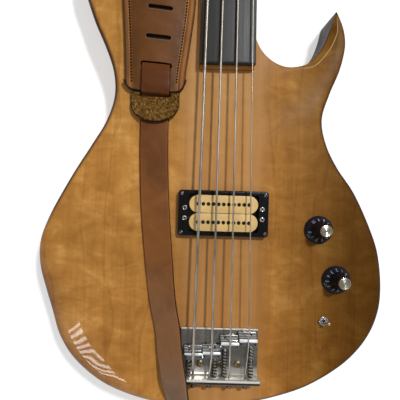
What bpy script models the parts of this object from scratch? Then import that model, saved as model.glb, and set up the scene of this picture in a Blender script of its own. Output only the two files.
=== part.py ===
"""Fretless four-string electric bass guitar, lying on its back.

X points to the treble side, Y up the neck and Z out of the face. The origin lies on
the centre line, at the nominal scale end, on the plane of the back. Metres.
"""

import math

import bmesh
import bpy
import numpy as np
from mathutils import Vector

MM = 0.001
SEAT = 0.3 * MM  # clearance where one piece rests on or fits in another
SUNK = 0.1 * MM  # a fused screw head sits this deep in its carrier

# Body
BODY_THICK = 42 * MM
EDGE_ROUND = 6 * MM
FOREARM_WIDE = 40 * MM
FOREARM_DROP = 11 * MM
HORN_TIP_ROUND = 0.9 * MM

# Scale, fingerboard and neck
SCALE_LENGTH = 864 * MM
BOARD_END = 265.5 * MM
BOARD_END_WIDTH = 54.3 * MM
NUT_WIDTH = 39.5 * MM
BOARD_LIFT = 6.5 * MM  # from the face of the body to the underside of the board
BOARD_THICK = 6.5 * MM
BOARD_CAMBER = 300 * MM
TENON_DEPTH = 30 * MM
TENON_END = 263.5 * MM
HEEL_END = 344 * MM
HEEL_BLEND = 56 * MM  # from the heel's end to the plain neck
NECK_DEPTH_HEEL = 17.2 * MM
NECK_DEPTH_NUT = 15 * MM

# Nut, truss rod and headstock
NUT_LENGTH = 5.6 * MM
NUT_RISE = 0.7 * MM  # string underside above the board at the nut
HEAD_DROP = 5.2 * MM  # from the neck's top to the face of the headstock
HEAD_THICK = 15 * MM
ROD_RADIUS = 2.7 * MM
ROD_NUT_RADIUS = 4.2 * MM
ROD_START = 285 * MM
COVER_THICK = 2 * MM

# Strings, thickest first: name, radius, place across the saddles and the nut
STRING_NAMES = ("E", "A", "D", "G")
STRING_RADII = (1.3 * MM, 1.05 * MM, 0.83 * MM, 0.58 * MM)
SADDLE_SPACING = 17.6 * MM
NUT_SPACING = 9.5 * MM
STRING_HEIGHT = 17.3 * MM  # string centres above the face, at the saddles
BALL_RADIUS = 2.3 * MM
BALL_LENGTH = 5 * MM
WINDING_TURNS = 1.25
WINDING_POINTS = 18
WINDING_GAP = 0.5 * MM
STRING_SIDES = 6

# Bridge
PLATE_WIDTH = 76 * MM
PLATE_FRONT = 6 * MM
PLATE_THICK = 3 * MM
LIP_FRONT = -40.2 * MM
LIP_THICK = 4.3 * MM
LIP_HEIGHT = 14.6 * MM
CREST_Y = (-16.2 * MM, -14.8 * MM, -5.3 * MM, -2 * MM)
SADDLE_WIDTH = 17.2 * MM
SADDLE_FRONT = 6 * MM
SADDLE_REAR = 6 * MM
SADDLE_LIFT = 2.7 * MM  # underside of the saddle above the plate
LEDGE_HEIGHT = 10.2 * MM  # rear ledge of the saddle above the plate
SCREW_HEIGHT = 7 * MM  # intonation screw above the plate
SCREW_OFFSET = (-4.2 * MM, 3.6 * MM, -4.2 * MM, 3.6 * MM)
LIP_HOLE_OFFSET = (0.6 * MM, -1.5 * MM, 0.6 * MM, -1.5 * MM)
LIP_HOLE_HEIGHT = 7.4 * MM
LEVEL_RUN = 3.4 * MM  # the string runs level this far behind the crest
INTONATION_RADIUS = 1.25 * MM
HEIGHT_SCREW_RADIUS = 1 * MM
HEIGHT_SCREW_SPREAD = 14.2 * MM
SPRING_WIRE = 0.8 * MM
SPRING_RADIUS = 2 * MM  # to the middle of the wire
SPRING_PITCH = 2.75 * MM
SPRING_POINTS = 6
BRIDGE_SCREW_SPACING = 18.6 * MM
BRIDGE_SCREW_Y = -29.2 * MM
BRIDGE_SCREW_DEPTH = 16 * MM

# Pickup
PICKUP_Y = 119.8 * MM
RING_LENGTH = 89 * MM
RING_WIDTH = 45 * MM
RING_HEIGHT = 7.5 * MM
BOBBIN_LENGTH = 67.5 * MM
BOBBIN_WIDTH = 17.6 * MM
BOBBIN_HEIGHT = 11 * MM
BOBBIN_TOP = 8.4 * MM  # above the face
POLE_COUNT = 11
POLE_PITCH = 5 * MM
POLE_RADIUS = 1.4 * MM
PICKUP_GAP = 0.8 * MM
EAR_SPREAD = 76 * MM
EAR_SCREW_PITCH = 10 * MM
CAVITY_DEPTH = 23 * MM
HEIGHT_SCREW_DEPTH = 14 * MM  # below the underside of the ring

# Controls
KNOB_PLACES = {"volume": (96 * MM, 106 * MM), "tone": (114.7 * MM, 56.6 * MM)}
KNOB_SKIRT = 14 * MM
KNOB_TOP = 6.4 * MM
KNOB_HEIGHT = 20.6 * MM
CAP_RADIUS = 5.8 * MM
SHAFT_RADIUS = 3 * MM
SHAFT_HEIGHT = 16 * MM
POT_RADIUS = 12 * MM
POT_HEIGHT = 9 * MM
BUSHING_RADIUS = 4.7 * MM
BUSHING_RISE = 3.4 * MM
SWITCH_PLACE = (103 * MM, 15.4 * MM)
SWITCH_BUSHING = 3 * MM
SWITCH_RISE = 4.5 * MM
LEVER_LENGTH = 12 * MM
LEVER_LEAN = math.radians(12)
CONTROL_LOW = (76 * MM, -6 * MM)
CONTROL_HIGH = (138 * MM, 128 * MM)
CONTROL_CORNER = 26 * MM
TOP_WALL = 8 * MM
COVER_LEDGE = 6 * MM
BACK_PLATE = 2.2 * MM
COVER_SCREW = 13 * MM
JACK_Y = 48 * MM
JACK_RADIUS = 5.3 * MM
JACK_BORE = 3.2 * MM
JACK_FLANGE = 8 * MM
JACK_FLANGE_THICK = 2.4 * MM

# Tuners
POST_PAST_NUT = (52 * MM, 109 * MM)  # lower and upper pair of posts, past the end of the scale
POST_ASIDE = (26 * MM, 28 * MM)
POST_PLACES = (
    (-POST_ASIDE[0], SCALE_LENGTH + POST_PAST_NUT[0]), (-POST_ASIDE[1], SCALE_LENGTH + POST_PAST_NUT[1]),
    (POST_ASIDE[1], SCALE_LENGTH + POST_PAST_NUT[1]), (POST_ASIDE[0], SCALE_LENGTH + POST_PAST_NUT[0]),
)
POST_RADIUS = 5.7 * MM
POST_HEIGHT = 15.5 * MM  # above the face of the headstock
GEAR_TEETH = 20
WORM_LEAD = math.pi * MM
WORM_RADIUS = 3.5 * MM  # pitch radius
TOOTH_HEIGHT = 0.8 * MM
TOOTH_ROOT = 1.1 * MM
GEAR_THICK = 5 * MM
WORM_LENGTH = 12 * MM
KEY_SHAFT = 2.2 * MM
KEY_OUT = 49 * MM  # inner end of the key's paddle, from the centre line
PADDLE_LENGTH = 20 * MM
PADDLE_WIDTH = 24 * MM
TUNER_PLATE = 1.5 * MM
EAR_THICK = 1.8 * MM
COLLAR_RISE = 1.6 * MM

# Strap
STRAP_WIDTH = 28.5 * MM
STRAP_THICK = 2.4 * MM
PAD_THICK = 7 * MM
BUTTON_RADIUS = 7.5 * MM
BUTTON_NECK = 3.4 * MM
BUTTON_HEIGHT = 14 * MM
BUTTON_SCREW = 20 * MM
FLAP_TOP = 237.6 * MM  # upper end of the suede, just below the padded part
FLAP_NOTCH = 4.6 * MM  # the tail goes down through it
LOOP_SLOT = (257.5 * MM, 267.5 * MM)  # where the tail dives into the padded part
SPARE_SLOTS = (291.7 * MM, 320.7 * MM)

# Levels and places that follow from the sizes above
BOARD_LOW = BODY_THICK + BOARD_LIFT
BOARD_TOP = BOARD_LOW + BOARD_THICK
NECK_TOP = BOARD_LOW - SEAT
HEAD_TOP = NECK_TOP - HEAD_DROP
HEAD_BACK = HEAD_TOP - HEAD_THICK
ROD_Z = HEAD_TOP - SEAT - ROD_NUT_RADIUS
STRING_Z = BODY_THICK + STRING_HEIGHT
PLATE_LOW = BODY_THICK + SEAT
PLATE_TOP = PLATE_LOW + PLATE_THICK
LIP_BACK = LIP_FRONT - LIP_THICK
SCREW_Z = PLATE_TOP + SCREW_HEIGHT
GEAR_RADIUS = GEAR_TEETH * WORM_LEAD / (2 * math.pi)
WORM_OUTER = WORM_RADIUS + TOOTH_HEIGHT
WORM_ROOT = WORM_RADIUS - TOOTH_ROOT
WORM_OFFSET = GEAR_RADIUS + WORM_RADIUS
PLATE_BACK = HEAD_BACK - SEAT
WORM_Z = PLATE_BACK - TUNER_PLATE - WORM_OUTER - SEAT
SADDLE_X = [(i - 1.5) * SADDLE_SPACING for i in range(4)]
NUT_X = [(i - 1.5) * NUT_SPACING for i in range(4)]
RIM_Z = BODY_THICK / 2

# Outline of the body, from the bass side of the neck round the tail to the lower horn
OUTLINE_MM = (
    (-27.5, 336), (-40, 343), (-53, 355), (-66, 374), (-77, 396), (-85, 415), (-92, 427.5),
    (-103, 433), (-116, 430), (-130, 420), (-143, 405), (-150.5, 388), (-152, 370),
    (-148.5, 351), (-141.8, 333), (-133, 309), (-122, 285), (-113.3, 260), (-111.7, 236),
    (-119, 211), (-132.7, 187), (-148, 162), (-162, 137), (-174.5, 112), (-183, 87.5),
    (-183.3, 63), (-177.5, 39), (-170, 15), (-162, -9.6), (-146, -33.6), (-115, -57),
    (-70, -71), (-35, -73.6), (0, -73.6), (28, -71), (55, -65), (91.6, -51.6),
    (129.6, -26), (150, -1), (159.8, 23.6), (162.2, 48), (158, 84.6), (149.5, 109),
    (132, 145), (115, 169), (103, 193), (98.5, 217), (106, 242), (117.5, 267),
    (121, 291), (118, 313), (112, 327),
)
# Inside of the lower horn, from its tip back to the treble side of the neck
CUTAWAY_MM = ((112, 327), (105, 316), (90.6, 284.3), (75.7, 271.7), (62, 268.6), (45, 275), (34, 286), (28.5, 296))
# Right half of the headstock, past the end of the scale, from the neck to the middle of its end
HEAD_MM = (
    (21.2, 16), (27, 28), (36, 39), (42.5, 53), (43.5, 72), (41.6, 91), (41, 110),
    (42.6, 128), (41, 145), (33, 158), (20, 165), (8, 163), (0, 161),
)


def smooth_line(points, steps):
    """Centripetal Catmull-Rom curve through the points, with its own end tangents."""
    p = np.asarray(points, float)
    p = np.vstack([2 * p[0] - p[1], p, 2 * p[-1] - p[-2]])
    out = []
    for a, b, c, d in zip(p[:-3], p[1:-2], p[2:-1], p[3:]):
        t0 = 0.0
        t1 = t0 + math.sqrt(np.linalg.norm(b - a))
        t2 = t1 + math.sqrt(np.linalg.norm(c - b))
        t3 = t2 + math.sqrt(np.linalg.norm(d - c))
        for t in np.linspace(t1, t2, steps, endpoint=False):
            ab = (t1 - t) / (t1 - t0) * a + (t - t0) / (t1 - t0) * b
            bc = (t2 - t) / (t2 - t1) * b + (t - t1) / (t2 - t1) * c
            cd = (t3 - t) / (t3 - t2) * c + (t - t2) / (t3 - t2) * d
            abc = (t2 - t) / (t2 - t0) * ab + (t - t0) / (t2 - t0) * bc
            bcd = (t3 - t) / (t3 - t1) * bc + (t - t1) / (t3 - t1) * cd
            out.append((t2 - t) / (t2 - t1) * abc + (t - t1) / (t2 - t1) * bcd)
    return np.array(out + [p[-2]])


def spaced(line, count):
    """The line again, with count points at even distances along it."""
    along = np.concatenate([[0], np.cumsum(np.linalg.norm(np.diff(line, axis=0), axis=1))])
    at = np.linspace(0, along[-1], count)
    return np.stack([np.interp(at, along, line[:, k]) for k in range(line.shape[1])], axis=1)


def body_outline(long_count, short_count):
    """Closed counter-clockwise outline of the body, in metres."""
    long_side = spaced(smooth_line(OUTLINE_MM, 8), long_count) * MM
    cutaway = spaced(smooth_line(CUTAWAY_MM, 8), short_count) * MM
    return np.vstack([long_side, cutaway[1:]])


def inward(outline):
    """Unit vectors that point into a counter-clockwise outline, stretched at its corners."""
    before = outline - np.roll(outline, 1, axis=0)
    after = np.roll(outline, -1, axis=0) - outline
    before /= np.linalg.norm(before, axis=1)[:, None]
    after /= np.linalg.norm(after, axis=1)[:, None]
    n0 = np.stack([-before[:, 1], before[:, 0]], axis=1)
    n1 = np.stack([-after[:, 1], after[:, 0]], axis=1)
    n = n0 + n1
    return n / np.maximum((n * n).sum(axis=1) / 2, 0.55)[:, None]


def loft(rings):
    """Closed solid through rings of equal count, with flat ends."""
    count = len(rings[0])
    faces = []
    for i in range(len(rings) - 1):
        for j in range(count):
            k = (j + 1) % count
            faces.append((i * count + j, i * count + k, (i + 1) * count + k, (i + 1) * count + j))
    last = (len(rings) - 1) * count
    faces.append(tuple(range(count - 1, -1, -1)))
    faces.append(tuple(range(last, last + count)))
    return np.vstack(rings), faces


def flat_ring(outline, z):
    return np.column_stack([outline, np.full(len(outline), z)])


def prism(outline, low, high):
    outline = np.asarray(outline, float)
    return loft([flat_ring(outline, low), flat_ring(outline, high)])


def chamfered(outline, low, high, edge):
    """Prism with a small chamfer round both ends."""
    inner = outline + inward(outline) * edge
    return loft(
        [
            flat_ring(inner, low),
            flat_ring(outline, low + edge),
            flat_ring(outline, high - edge),
            flat_ring(inner, high),
        ]
    )


def box(low, high):
    (x0, y0, z0), (x1, y1, z1) = low, high
    return prism([(x0, y0), (x1, y0), (x1, y1), (x0, y1)], z0, z1)


def circle(radius, sides, centre=(0, 0), turn=0.0):
    a = np.arange(sides) * 2 * math.pi / sides + turn
    return np.column_stack([centre[0] + radius * np.cos(a), centre[1] + radius * np.sin(a)])


def rounded_rectangle(low, high, radius, steps=5):
    """Counter-clockwise rectangle with round corners."""
    points = []
    corners = (
        (high[0] - radius, low[1] + radius, -math.pi / 2),
        (high[0] - radius, high[1] - radius, 0),
        (low[0] + radius, high[1] - radius, math.pi / 2),
        (low[0] + radius, low[1] + radius, math.pi),
    )
    for x, y, start in corners:
        for a in np.linspace(start, start + math.pi / 2, steps):
            points.append((x + radius * math.cos(a), y + radius * math.sin(a)))
    return np.array(points)


def turned(profile, sides):
    """Solid of revolution about Z from (radius, height) pairs, each end on the axis or flat."""
    return loft([flat_ring(circle(max(r, 1e-6), sides), z) for r, z in profile])


def turned_tube(profile, bore, sides):
    """Solid of revolution with a straight bore through it."""
    low, high = profile[0][1], profile[-1][1]
    path = list(profile) + [(bore, high), (bore, low)]
    rings = [flat_ring(circle(r, sides), z) for r, z in path]
    faces = []
    for i in range(len(rings)):
        n = (i + 1) % len(rings)
        for j in range(sides):
            k = (j + 1) % sides
            faces.append((i * sides + j, i * sides + k, n * sides + k, n * sides + j))
    return np.vstack(rings), faces


def rod(radius, low, high, sides=8, centre=(0, 0)):
    return prism(circle(radius, sides, centre), low, high)


def along(shape, axis, at=(0, 0, 0)):
    """The shape with its Z turned to the named axis, then moved."""
    v, faces = shape
    x, y, z = v.T
    turned_to = {"+Z": (x, y, z), "+X": (z, x, y), "-X": (-z, -x, y), "+Y": (y, z, x), "-Y": (-y, -z, x)}
    turned_to["-Z"] = (x, -y, -z)
    return np.column_stack(turned_to[axis]) + np.asarray(at), faces


def moved(shape, at):
    return shape[0] + np.asarray(at), shape[1]


def joined(shapes):
    """Several separate solids as one shape."""
    verts, faces, start = [], [], 0
    for v, f in shapes:
        verts.append(v)
        faces += [tuple(i + start for i in face) for face in f]
        start += len(v)
    return np.vstack(verts), faces


def tube(points, radius, sides):
    """One unbroken round tube along the points, with flat ends."""
    p = np.asarray(points, float)
    t = np.gradient(p, axis=0)
    t /= np.linalg.norm(t, axis=1)[:, None]
    side = np.cross(t[0], (0, 0, 1) if abs(t[0][2]) < 0.9 else (1, 0, 0))
    rings = []
    a = np.arange(sides) * 2 * math.pi / sides
    for point, tangent in zip(p, t):
        side = side - tangent * (side @ tangent)
        side /= np.linalg.norm(side)
        up = np.cross(tangent, side)
        rings.append(point + radius * (np.outer(np.cos(a), side) + np.outer(np.sin(a), up)))
    return loft(rings)


def ribbon(centres, normals, widths, thicks, crown=0.35):
    """Strip of flat leather along the centres, each section with eased edges."""
    c = np.asarray(centres, float)
    t = np.gradient(c, axis=0)
    t /= np.linalg.norm(t, axis=1)[:, None]
    rings = []
    for p, tangent, n, w, h in zip(c, t, normals, widths, thicks):
        n = n - tangent * (n @ tangent)
        n /= np.linalg.norm(n)
        s = np.cross(tangent, n)
        e = crown * h
        section = ((-w / 2, e - h / 2), (-w / 2 + e, -h / 2), (w / 2 - e, -h / 2), (w / 2, e - h / 2),
                   (w / 2, h / 2 - e), (w / 2 - e, h / 2), (-w / 2 + e, h / 2), (-w / 2, h / 2 - e))
        rings.append(np.array([p + s * x + n * z for x, z in section]))
    return loft(rings)


def nearest_gap(line, radius, apart):
    """Least gap between stretches of one tube that lie more than apart along it."""
    fine = spaced(np.asarray(line, float), 900)
    step = np.linalg.norm(fine[1] - fine[0])
    skip = int(apart / step) + 1
    least = math.inf
    for i in range(0, len(fine) - skip, 2):
        least = min(least, np.linalg.norm(fine[i + skip:] - fine[i], axis=1).min())
    return least - 2 * radius


def material(name, colour, roughness, metallic=0.0):
    m = bpy.data.materials.new(name)
    m.use_nodes = True
    shader = m.node_tree.nodes["Principled BSDF"]
    shader.inputs["Base Color"].default_value = (*colour, 1)
    shader.inputs["Roughness"].default_value = roughness
    shader.inputs["Metallic"].default_value = metallic
    m.diffuse_color = (*colour, 1)
    return m


FINISHES = {
    "maple": ((0.56, 0.34, 0.12), 0.2, 0.0),
    "ebony": ((0.03, 0.03, 0.028), 0.4, 0.0),
    "bone": ((0.8, 0.76, 0.65), 0.4, 0.0),
    "steel": ((0.62, 0.6, 0.57), 0.3, 1.0),
    "chrome": ((0.75, 0.75, 0.76), 0.12, 1.0),
    "black": ((0.015, 0.015, 0.016), 0.35, 0.0),
    "cream": ((0.83, 0.72, 0.47), 0.35, 0.0),
    "leather": ((0.19, 0.085, 0.04), 0.5, 0.0),
    "suede": ((0.3, 0.17, 0.06), 0.95, 0.0),
}


def add(name, shape, finish, at=(0, 0, 0), turn=(0, 0, 0), sharp=35):
    """One named piece. The shape is in world coordinates and its origin goes to at."""
    verts, faces = shape
    mesh = bpy.data.meshes.new(name)
    mesh.from_pydata((verts - np.asarray(at)).tolist(), [], faces)
    work = bmesh.new()
    work.from_mesh(mesh)
    bmesh.ops.remove_doubles(work, verts=work.verts, dist=2e-6)
    bmesh.ops.recalc_face_normals(work, faces=work.faces)
    work.to_mesh(mesh)
    work.free()
    mesh.shade_smooth()
    mesh.set_sharp_from_angle(angle=math.radians(sharp))
    piece = bpy.data.objects.new(name, mesh)
    piece.location = at
    piece.rotation_euler = turn
    if finish:
        mesh.materials.append(material(name, *FINISHES[finish]))
    bpy.context.scene.collection.objects.link(piece)
    return piece


def helper(name, shape):
    """A cutter or other tool shape, left out of the finished part."""
    piece = add(name, shape, None)
    piece.hide_render = True
    piece.display_type = "WIRE"
    return piece


def cut(piece, name, shape, operation="DIFFERENCE"):
    change = piece.modifiers.new(name, "BOOLEAN")
    change.object = helper(f"{piece.name}_{name}", shape)
    change.operation = operation
    change.solver = "EXACT"
    return piece


def fuse(piece, name, shapes):
    """Adds shapes that belong to the piece, such as the screws that it carries."""
    cut(piece, name, joined(shapes), "UNION")
    piece.modifiers[name].use_self = True
    return piece


def board_half(y):
    """Half width of the fingerboard and neck at a place along the scale."""
    share = (y - BOARD_END) / (SCALE_LENGTH - BOARD_END)
    return (BOARD_END_WIDTH + (NUT_WIDTH - BOARD_END_WIDTH) * share) / 2


def ease(x, low, high):
    """Smooth step from 0 at low to 1 at high."""
    t = np.clip((np.asarray(x, float) - low) / (high - low), 0, 1)
    return t * t * (3 - 2 * t)


def rim_point(x_side, y):
    """The outline's X at a height along the body, on one side (+1 treble, -1 bass)."""
    line = body_outline(400, 60)
    near = line[(line[:, 0] * x_side > 60 * MM)]
    return near[np.argmin(abs(near[:, 1] - y)), 0]


def rim_end(x, top):
    """The outline's Y at a place across, at the tail or at the horn's top."""
    line = body_outline(400, 60)
    near = line[abs(line[:, 0] - x) < 2 * MM]
    return near[:, 1].max() if top else near[:, 1].min()


HORN_BUTTON_X = -104 * MM
TAIL_BUTTON_X = 0.0
HORN_RIM = rim_end(HORN_BUTTON_X, True)
TAIL_RIM = rim_end(TAIL_BUTTON_X, False)
JACK_RIM = rim_point(1, JACK_Y)


def body_shape():
    """Slab lofted from inset copies of the outline: round edges, wider over the forearm."""
    outline = body_outline(76, 12)
    x, y = outline.T
    normal = inward(outline)
    tip = np.linalg.norm(outline - np.array(OUTLINE_MM[-1]) * MM, axis=1)
    neck = ease(abs(x), 26 * MM, 40 * MM) + (y < 200 * MM)
    edge = np.minimum(EDGE_ROUND, HORN_TIP_ROUND + 0.42 * tip) * np.clip(neck, 0.12, 1)
    forearm = ease(-x, 55 * MM, 110 * MM) * ease(y, -90 * MM, -40 * MM) * (1 - ease(y, 20 * MM, 105 * MM))
    wide = edge + (FOREARM_WIDE - EDGE_ROUND) * forearm
    drop = edge + (FOREARM_DROP - EDGE_ROUND) * forearm
    rings = []
    for a in np.radians((90, 40, 0)):
        inset, rise = edge * (1 - math.cos(a)), edge * (1 - math.sin(a))
        rings.append(np.column_stack([outline + normal * inset[:, None], rise]))
    for a in np.radians((0, 30, 60, 90)):
        inset, rise = wide * (1 - math.cos(a)), BODY_THICK - drop * (1 - math.sin(a))
        rings.append(np.column_stack([outline + normal * inset[:, None], rise]))
    return loft(rings)


def bridge_screw_places():
    return [((i - 1) * BRIDGE_SCREW_SPACING, BRIDGE_SCREW_Y) for i in range(3)]


def ring_screw_places():
    reach = (RING_LENGTH / 2 - 3.4 * MM, RING_WIDTH / 2 - 3.4 * MM)
    return [(sx * reach[0], PICKUP_Y + sy * reach[1]) for sx in (-1, 1) for sy in (-1, 1)]


def height_screw_places():
    return [(sx * EAR_SPREAD / 2, PICKUP_Y + sy * EAR_SCREW_PITCH / 2) for sx in (-1, 1) for sy in (-1, 1)]


def cover_screw_places():
    """Six places in the middle of the ledge round the control cavity."""
    out = COVER_LEDGE / 2
    (x0, y0), (x1, y1) = CONTROL_LOW, CONTROL_HIGH
    slant = CONTROL_CORNER * (1 - math.sqrt(0.5)) - out * math.sqrt(0.5)
    middle = (y0 + y1) / 2
    return [
        (x0 + slant, y0 + slant), (x1 - slant, y0 + slant), (x0 - out, middle),
        (x1 + out, middle), (x0 + slant, y1 - slant), (x1 - slant, y1 - slant),
    ]


def make_body():
    body = add("body", body_shape(), "maple", sharp=32)
    tenon_low = BODY_THICK - TENON_DEPTH
    pocket_ends = ((TENON_END - SEAT, HEEL_END + 20 * MM))
    a, b = (board_half(y) + SEAT for y in pocket_ends)
    pocket = [(-a, pocket_ends[0]), (a, pocket_ends[0]), (b, pocket_ends[1]), (-b, pocket_ends[1])]
    cut(body, "neck_pocket", prism(pocket, tenon_low - SEAT, BODY_THICK + 10 * MM))
    half = (EAR_SPREAD / 2 + 4 * MM, RING_WIDTH / 2 - 2.4 * MM)
    pickup = rounded_rectangle((-half[0], PICKUP_Y - half[1]), (half[0], PICKUP_Y + half[1]), 4 * MM, 4)
    cut(body, "pickup_cavity", prism(pickup, BODY_THICK - CAVITY_DEPTH, BODY_THICK + 5 * MM))
    control = rounded_rectangle(CONTROL_LOW, CONTROL_HIGH, CONTROL_CORNER)
    cut(body, "control_cavity", prism(control, -5 * MM, BODY_THICK - TOP_WALL))
    low, high = np.array(CONTROL_LOW) - COVER_LEDGE, np.array(CONTROL_HIGH) + COVER_LEDGE
    recess = rounded_rectangle(low, high, CONTROL_CORNER + COVER_LEDGE)
    cut(body, "cover_recess", prism(recess, -5 * MM, BACK_PLATE + SEAT))
    top = BODY_THICK + 5 * MM
    shafts = [rod(BUSHING_RADIUS + SEAT, BODY_THICK - TOP_WALL - 2 * MM, top, 16, p) for p in KNOB_PLACES.values()]
    shafts.append(rod(SWITCH_BUSHING + SEAT, BODY_THICK - TOP_WALL - 2 * MM, top, 12, SWITCH_PLACE))
    cut(body, "shaft_holes", joined(shafts))
    bore = rod(JACK_RADIUS + SEAT, -30 * MM, 10 * MM, 16)
    cut(body, "jack_bore", along(bore, "+X", (JACK_RIM, JACK_Y, RIM_Z)))
    way = rod(4 * MM, EAR_SPREAD / 2, CONTROL_LOW[0] + 8 * MM, 8)
    cut(body, "wire_way", along(way, "+X", (0, PICKUP_Y - 8 * MM, BODY_THICK - CAVITY_DEPTH + 7 * MM)))
    holes = [rod(2.2 * MM, BODY_THICK - BRIDGE_SCREW_DEPTH - 4 * MM, top, 8, p) for p in bridge_screw_places()]
    holes += [rod(1.3 * MM, BODY_THICK - 12 * MM, top, 6, p) for p in ring_screw_places()]
    holes += [rod(1.7 * MM, -5 * MM, COVER_SCREW + 1 * MM, 6, p) for p in cover_screw_places()]
    button = rod(2.3 * MM, -BUTTON_SCREW - 2 * MM, 6 * MM, 8)
    holes.append(along(button, "+Y", (HORN_BUTTON_X, HORN_RIM, RIM_Z)))
    holes.append(along(button, "-Y", (TAIL_BUTTON_X, TAIL_RIM, RIM_Z)))
    cut(body, "screw_holes", joined(holes))


def neck_section(y, half, top, low, power, count=11):
    """Flat on top, and a rounded belly whose squareness is power."""
    ring = []
    for a in np.linspace(0, math.pi, count):
        c, s = math.cos(a), math.sin(a)
        x = math.copysign(abs(c) ** (2 / power), c) * half
        ring.append((x, y, top - (top - low) * abs(s) ** (2 / power)))
    return np.array(ring)


def make_neck():
    low_heel = BODY_THICK - TENON_DEPTH
    low_neck = NECK_TOP - NECK_DEPTH_HEEL
    low_nut = NECK_TOP - NECK_DEPTH_NUT
    end = SCALE_LENGTH + NUT_LENGTH
    middle = (HEEL_END + HEEL_BLEND + end) / 2
    sections = [
        (TENON_END, low_heel, 14), (HEEL_END, low_heel, 14), (HEEL_END + 9 * MM, low_heel + 3.5 * MM, 8),
        (HEEL_END + 20 * MM, low_neck - 8 * MM, 5), (HEEL_END + 34 * MM, low_neck - 3 * MM, 3.2),
        (HEEL_END + HEEL_BLEND, low_neck, 2.4), (middle, (low_neck + low_nut) / 2, 2.2), (end, low_nut, 2.2),
    ]
    rings = [neck_section(y, board_half(y), NECK_TOP, low, power) for y, low, power in sections]
    half = NUT_WIDTH / 2
    scoop = (
        (3, 0.4, HEAD_DROP * 0.12, 0.25, 2.4), (8, 1.6, HEAD_DROP * 0.6, 0.6, 3),
        (13, 3.6, HEAD_DROP * 0.95, 0.93, 5), (18, 5.4, HEAD_DROP + 0.1 * MM, 0.98, 9),
    )
    for past, wider, down, share, power in scoop:
        low = low_nut + (HEAD_BACK - low_nut) * share
        rings.append(neck_section(end + past * MM, half + wider * MM, NECK_TOP - down, low, power))
    neck = add("neck", loft(rings), "maple", sharp=32)
    right = spaced(smooth_line(HEAD_MM, 6), 19) * MM + (0, SCALE_LENGTH)
    left = right[-2::-1] * (-1, 1)
    head = np.vstack([right, left])
    cut(neck, "headstock", chamfered(head, HEAD_BACK, HEAD_TOP, 1.5 * MM), "UNION")
    posts = [rod(POST_RADIUS + 2.3 * MM, HEAD_BACK - 5 * MM, HEAD_TOP + 5 * MM, 12, p) for p in POST_PLACES]
    cut(neck, "post_holes", joined(posts))
    wall = SEAT * 2
    bore = rod(ROD_RADIUS + wall, ROD_START - wall, end + 22 * MM, 8)
    cut(neck, "rod_bore", along(bore, "+Y", (0, 0, ROD_Z)))
    nut_wall = ROD_NUT_RADIUS + wall
    pocket = box(
        (-nut_wall, end + 9 * MM, ROD_Z - nut_wall),
        (nut_wall, end + 30 * MM, NECK_TOP + 5 * MM),
    )
    cut(neck, "rod_pocket", pocket)
    screws = [along(rod(1.1 * MM, 0, 9 * MM, 6), "-Z", (x, y, HEAD_TOP + 1 * MM)) for x, y in cover_hole_places()]
    cut(neck, "screw_holes", joined(screws))


def cover_hole_places():
    start = SCALE_LENGTH + NUT_LENGTH + 16 * MM
    return [(-8 * MM, start + 6 * MM), (8 * MM, start + 6 * MM)]


def make_board():
    rings = []
    for y in (BOARD_END, SCALE_LENGTH):
        half = board_half(y)
        across = np.linspace(half, -half, 9)
        top = BOARD_TOP - across**2 / (2 * BOARD_CAMBER)
        section = [(-half, y, BOARD_LOW), (half, y, BOARD_LOW)]
        rings.append(np.array(section + [(x, y, z) for x, z in zip(across, top)]))
    add("fingerboard", loft(rings), "ebony")


def string_height_at_nut(i):
    return BOARD_TOP + NUT_RISE + STRING_RADII[i]


def make_nut():
    half = NUT_WIDTH / 2
    y0, y1 = SCALE_LENGTH + SEAT, SCALE_LENGTH + NUT_LENGTH
    top = BOARD_TOP + NUT_RISE + 1.9 * MM
    profile = [(y0, BOARD_LOW), (y1, BOARD_LOW), (y1, top - 1.4 * MM), ((y0 + y1) / 2, top - 0.3 * MM), (y0, top)]
    rings = [np.array([(x, y, z) for y, z in profile]) for x in (-half, half)]
    nut = add("nut", loft(rings), "bone")
    slots = []
    for x, r in zip(NUT_X, STRING_RADII):
        w = r + SEAT
        slots.append(box((x - w, y0 - 5 * MM, BOARD_TOP + NUT_RISE - SEAT - 0.5 * MM), (x + w, y1 + 5 * MM, top + 5 * MM)))
    cut(nut, "string_slots", joined(slots))


def make_truss_rod():
    end = SCALE_LENGTH + NUT_LENGTH
    nut_start = end + 11 * MM
    profile = [(ROD_RADIUS, ROD_START), (ROD_RADIUS, nut_start), (ROD_NUT_RADIUS, nut_start),
               (ROD_NUT_RADIUS, end + 22 * MM)]
    add("truss_rod", along(turned(profile, 6), "+Y", (0, 0, ROD_Z)), "steel")
    start = end + 16 * MM
    outline = smooth_line([(11, 0), (11.5, 10), (8, 22), (0, 30)], 4) * MM
    outline = np.vstack([outline, outline[-2::-1] * (-1, 1)]) + (0, start)
    low = HEAD_TOP + SEAT
    cover = add("truss_rod_cover", prism(outline, low, low + COVER_THICK), "black")
    screw = pan_screw(2.1 * MM, 1.4 * MM, 0.9 * MM, COVER_THICK + 6 * MM, 6)
    fuse(cover, "screws", [moved(screw, (x, y, low + COVER_THICK - SUNK)) for x, y in cover_hole_places()])


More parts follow.
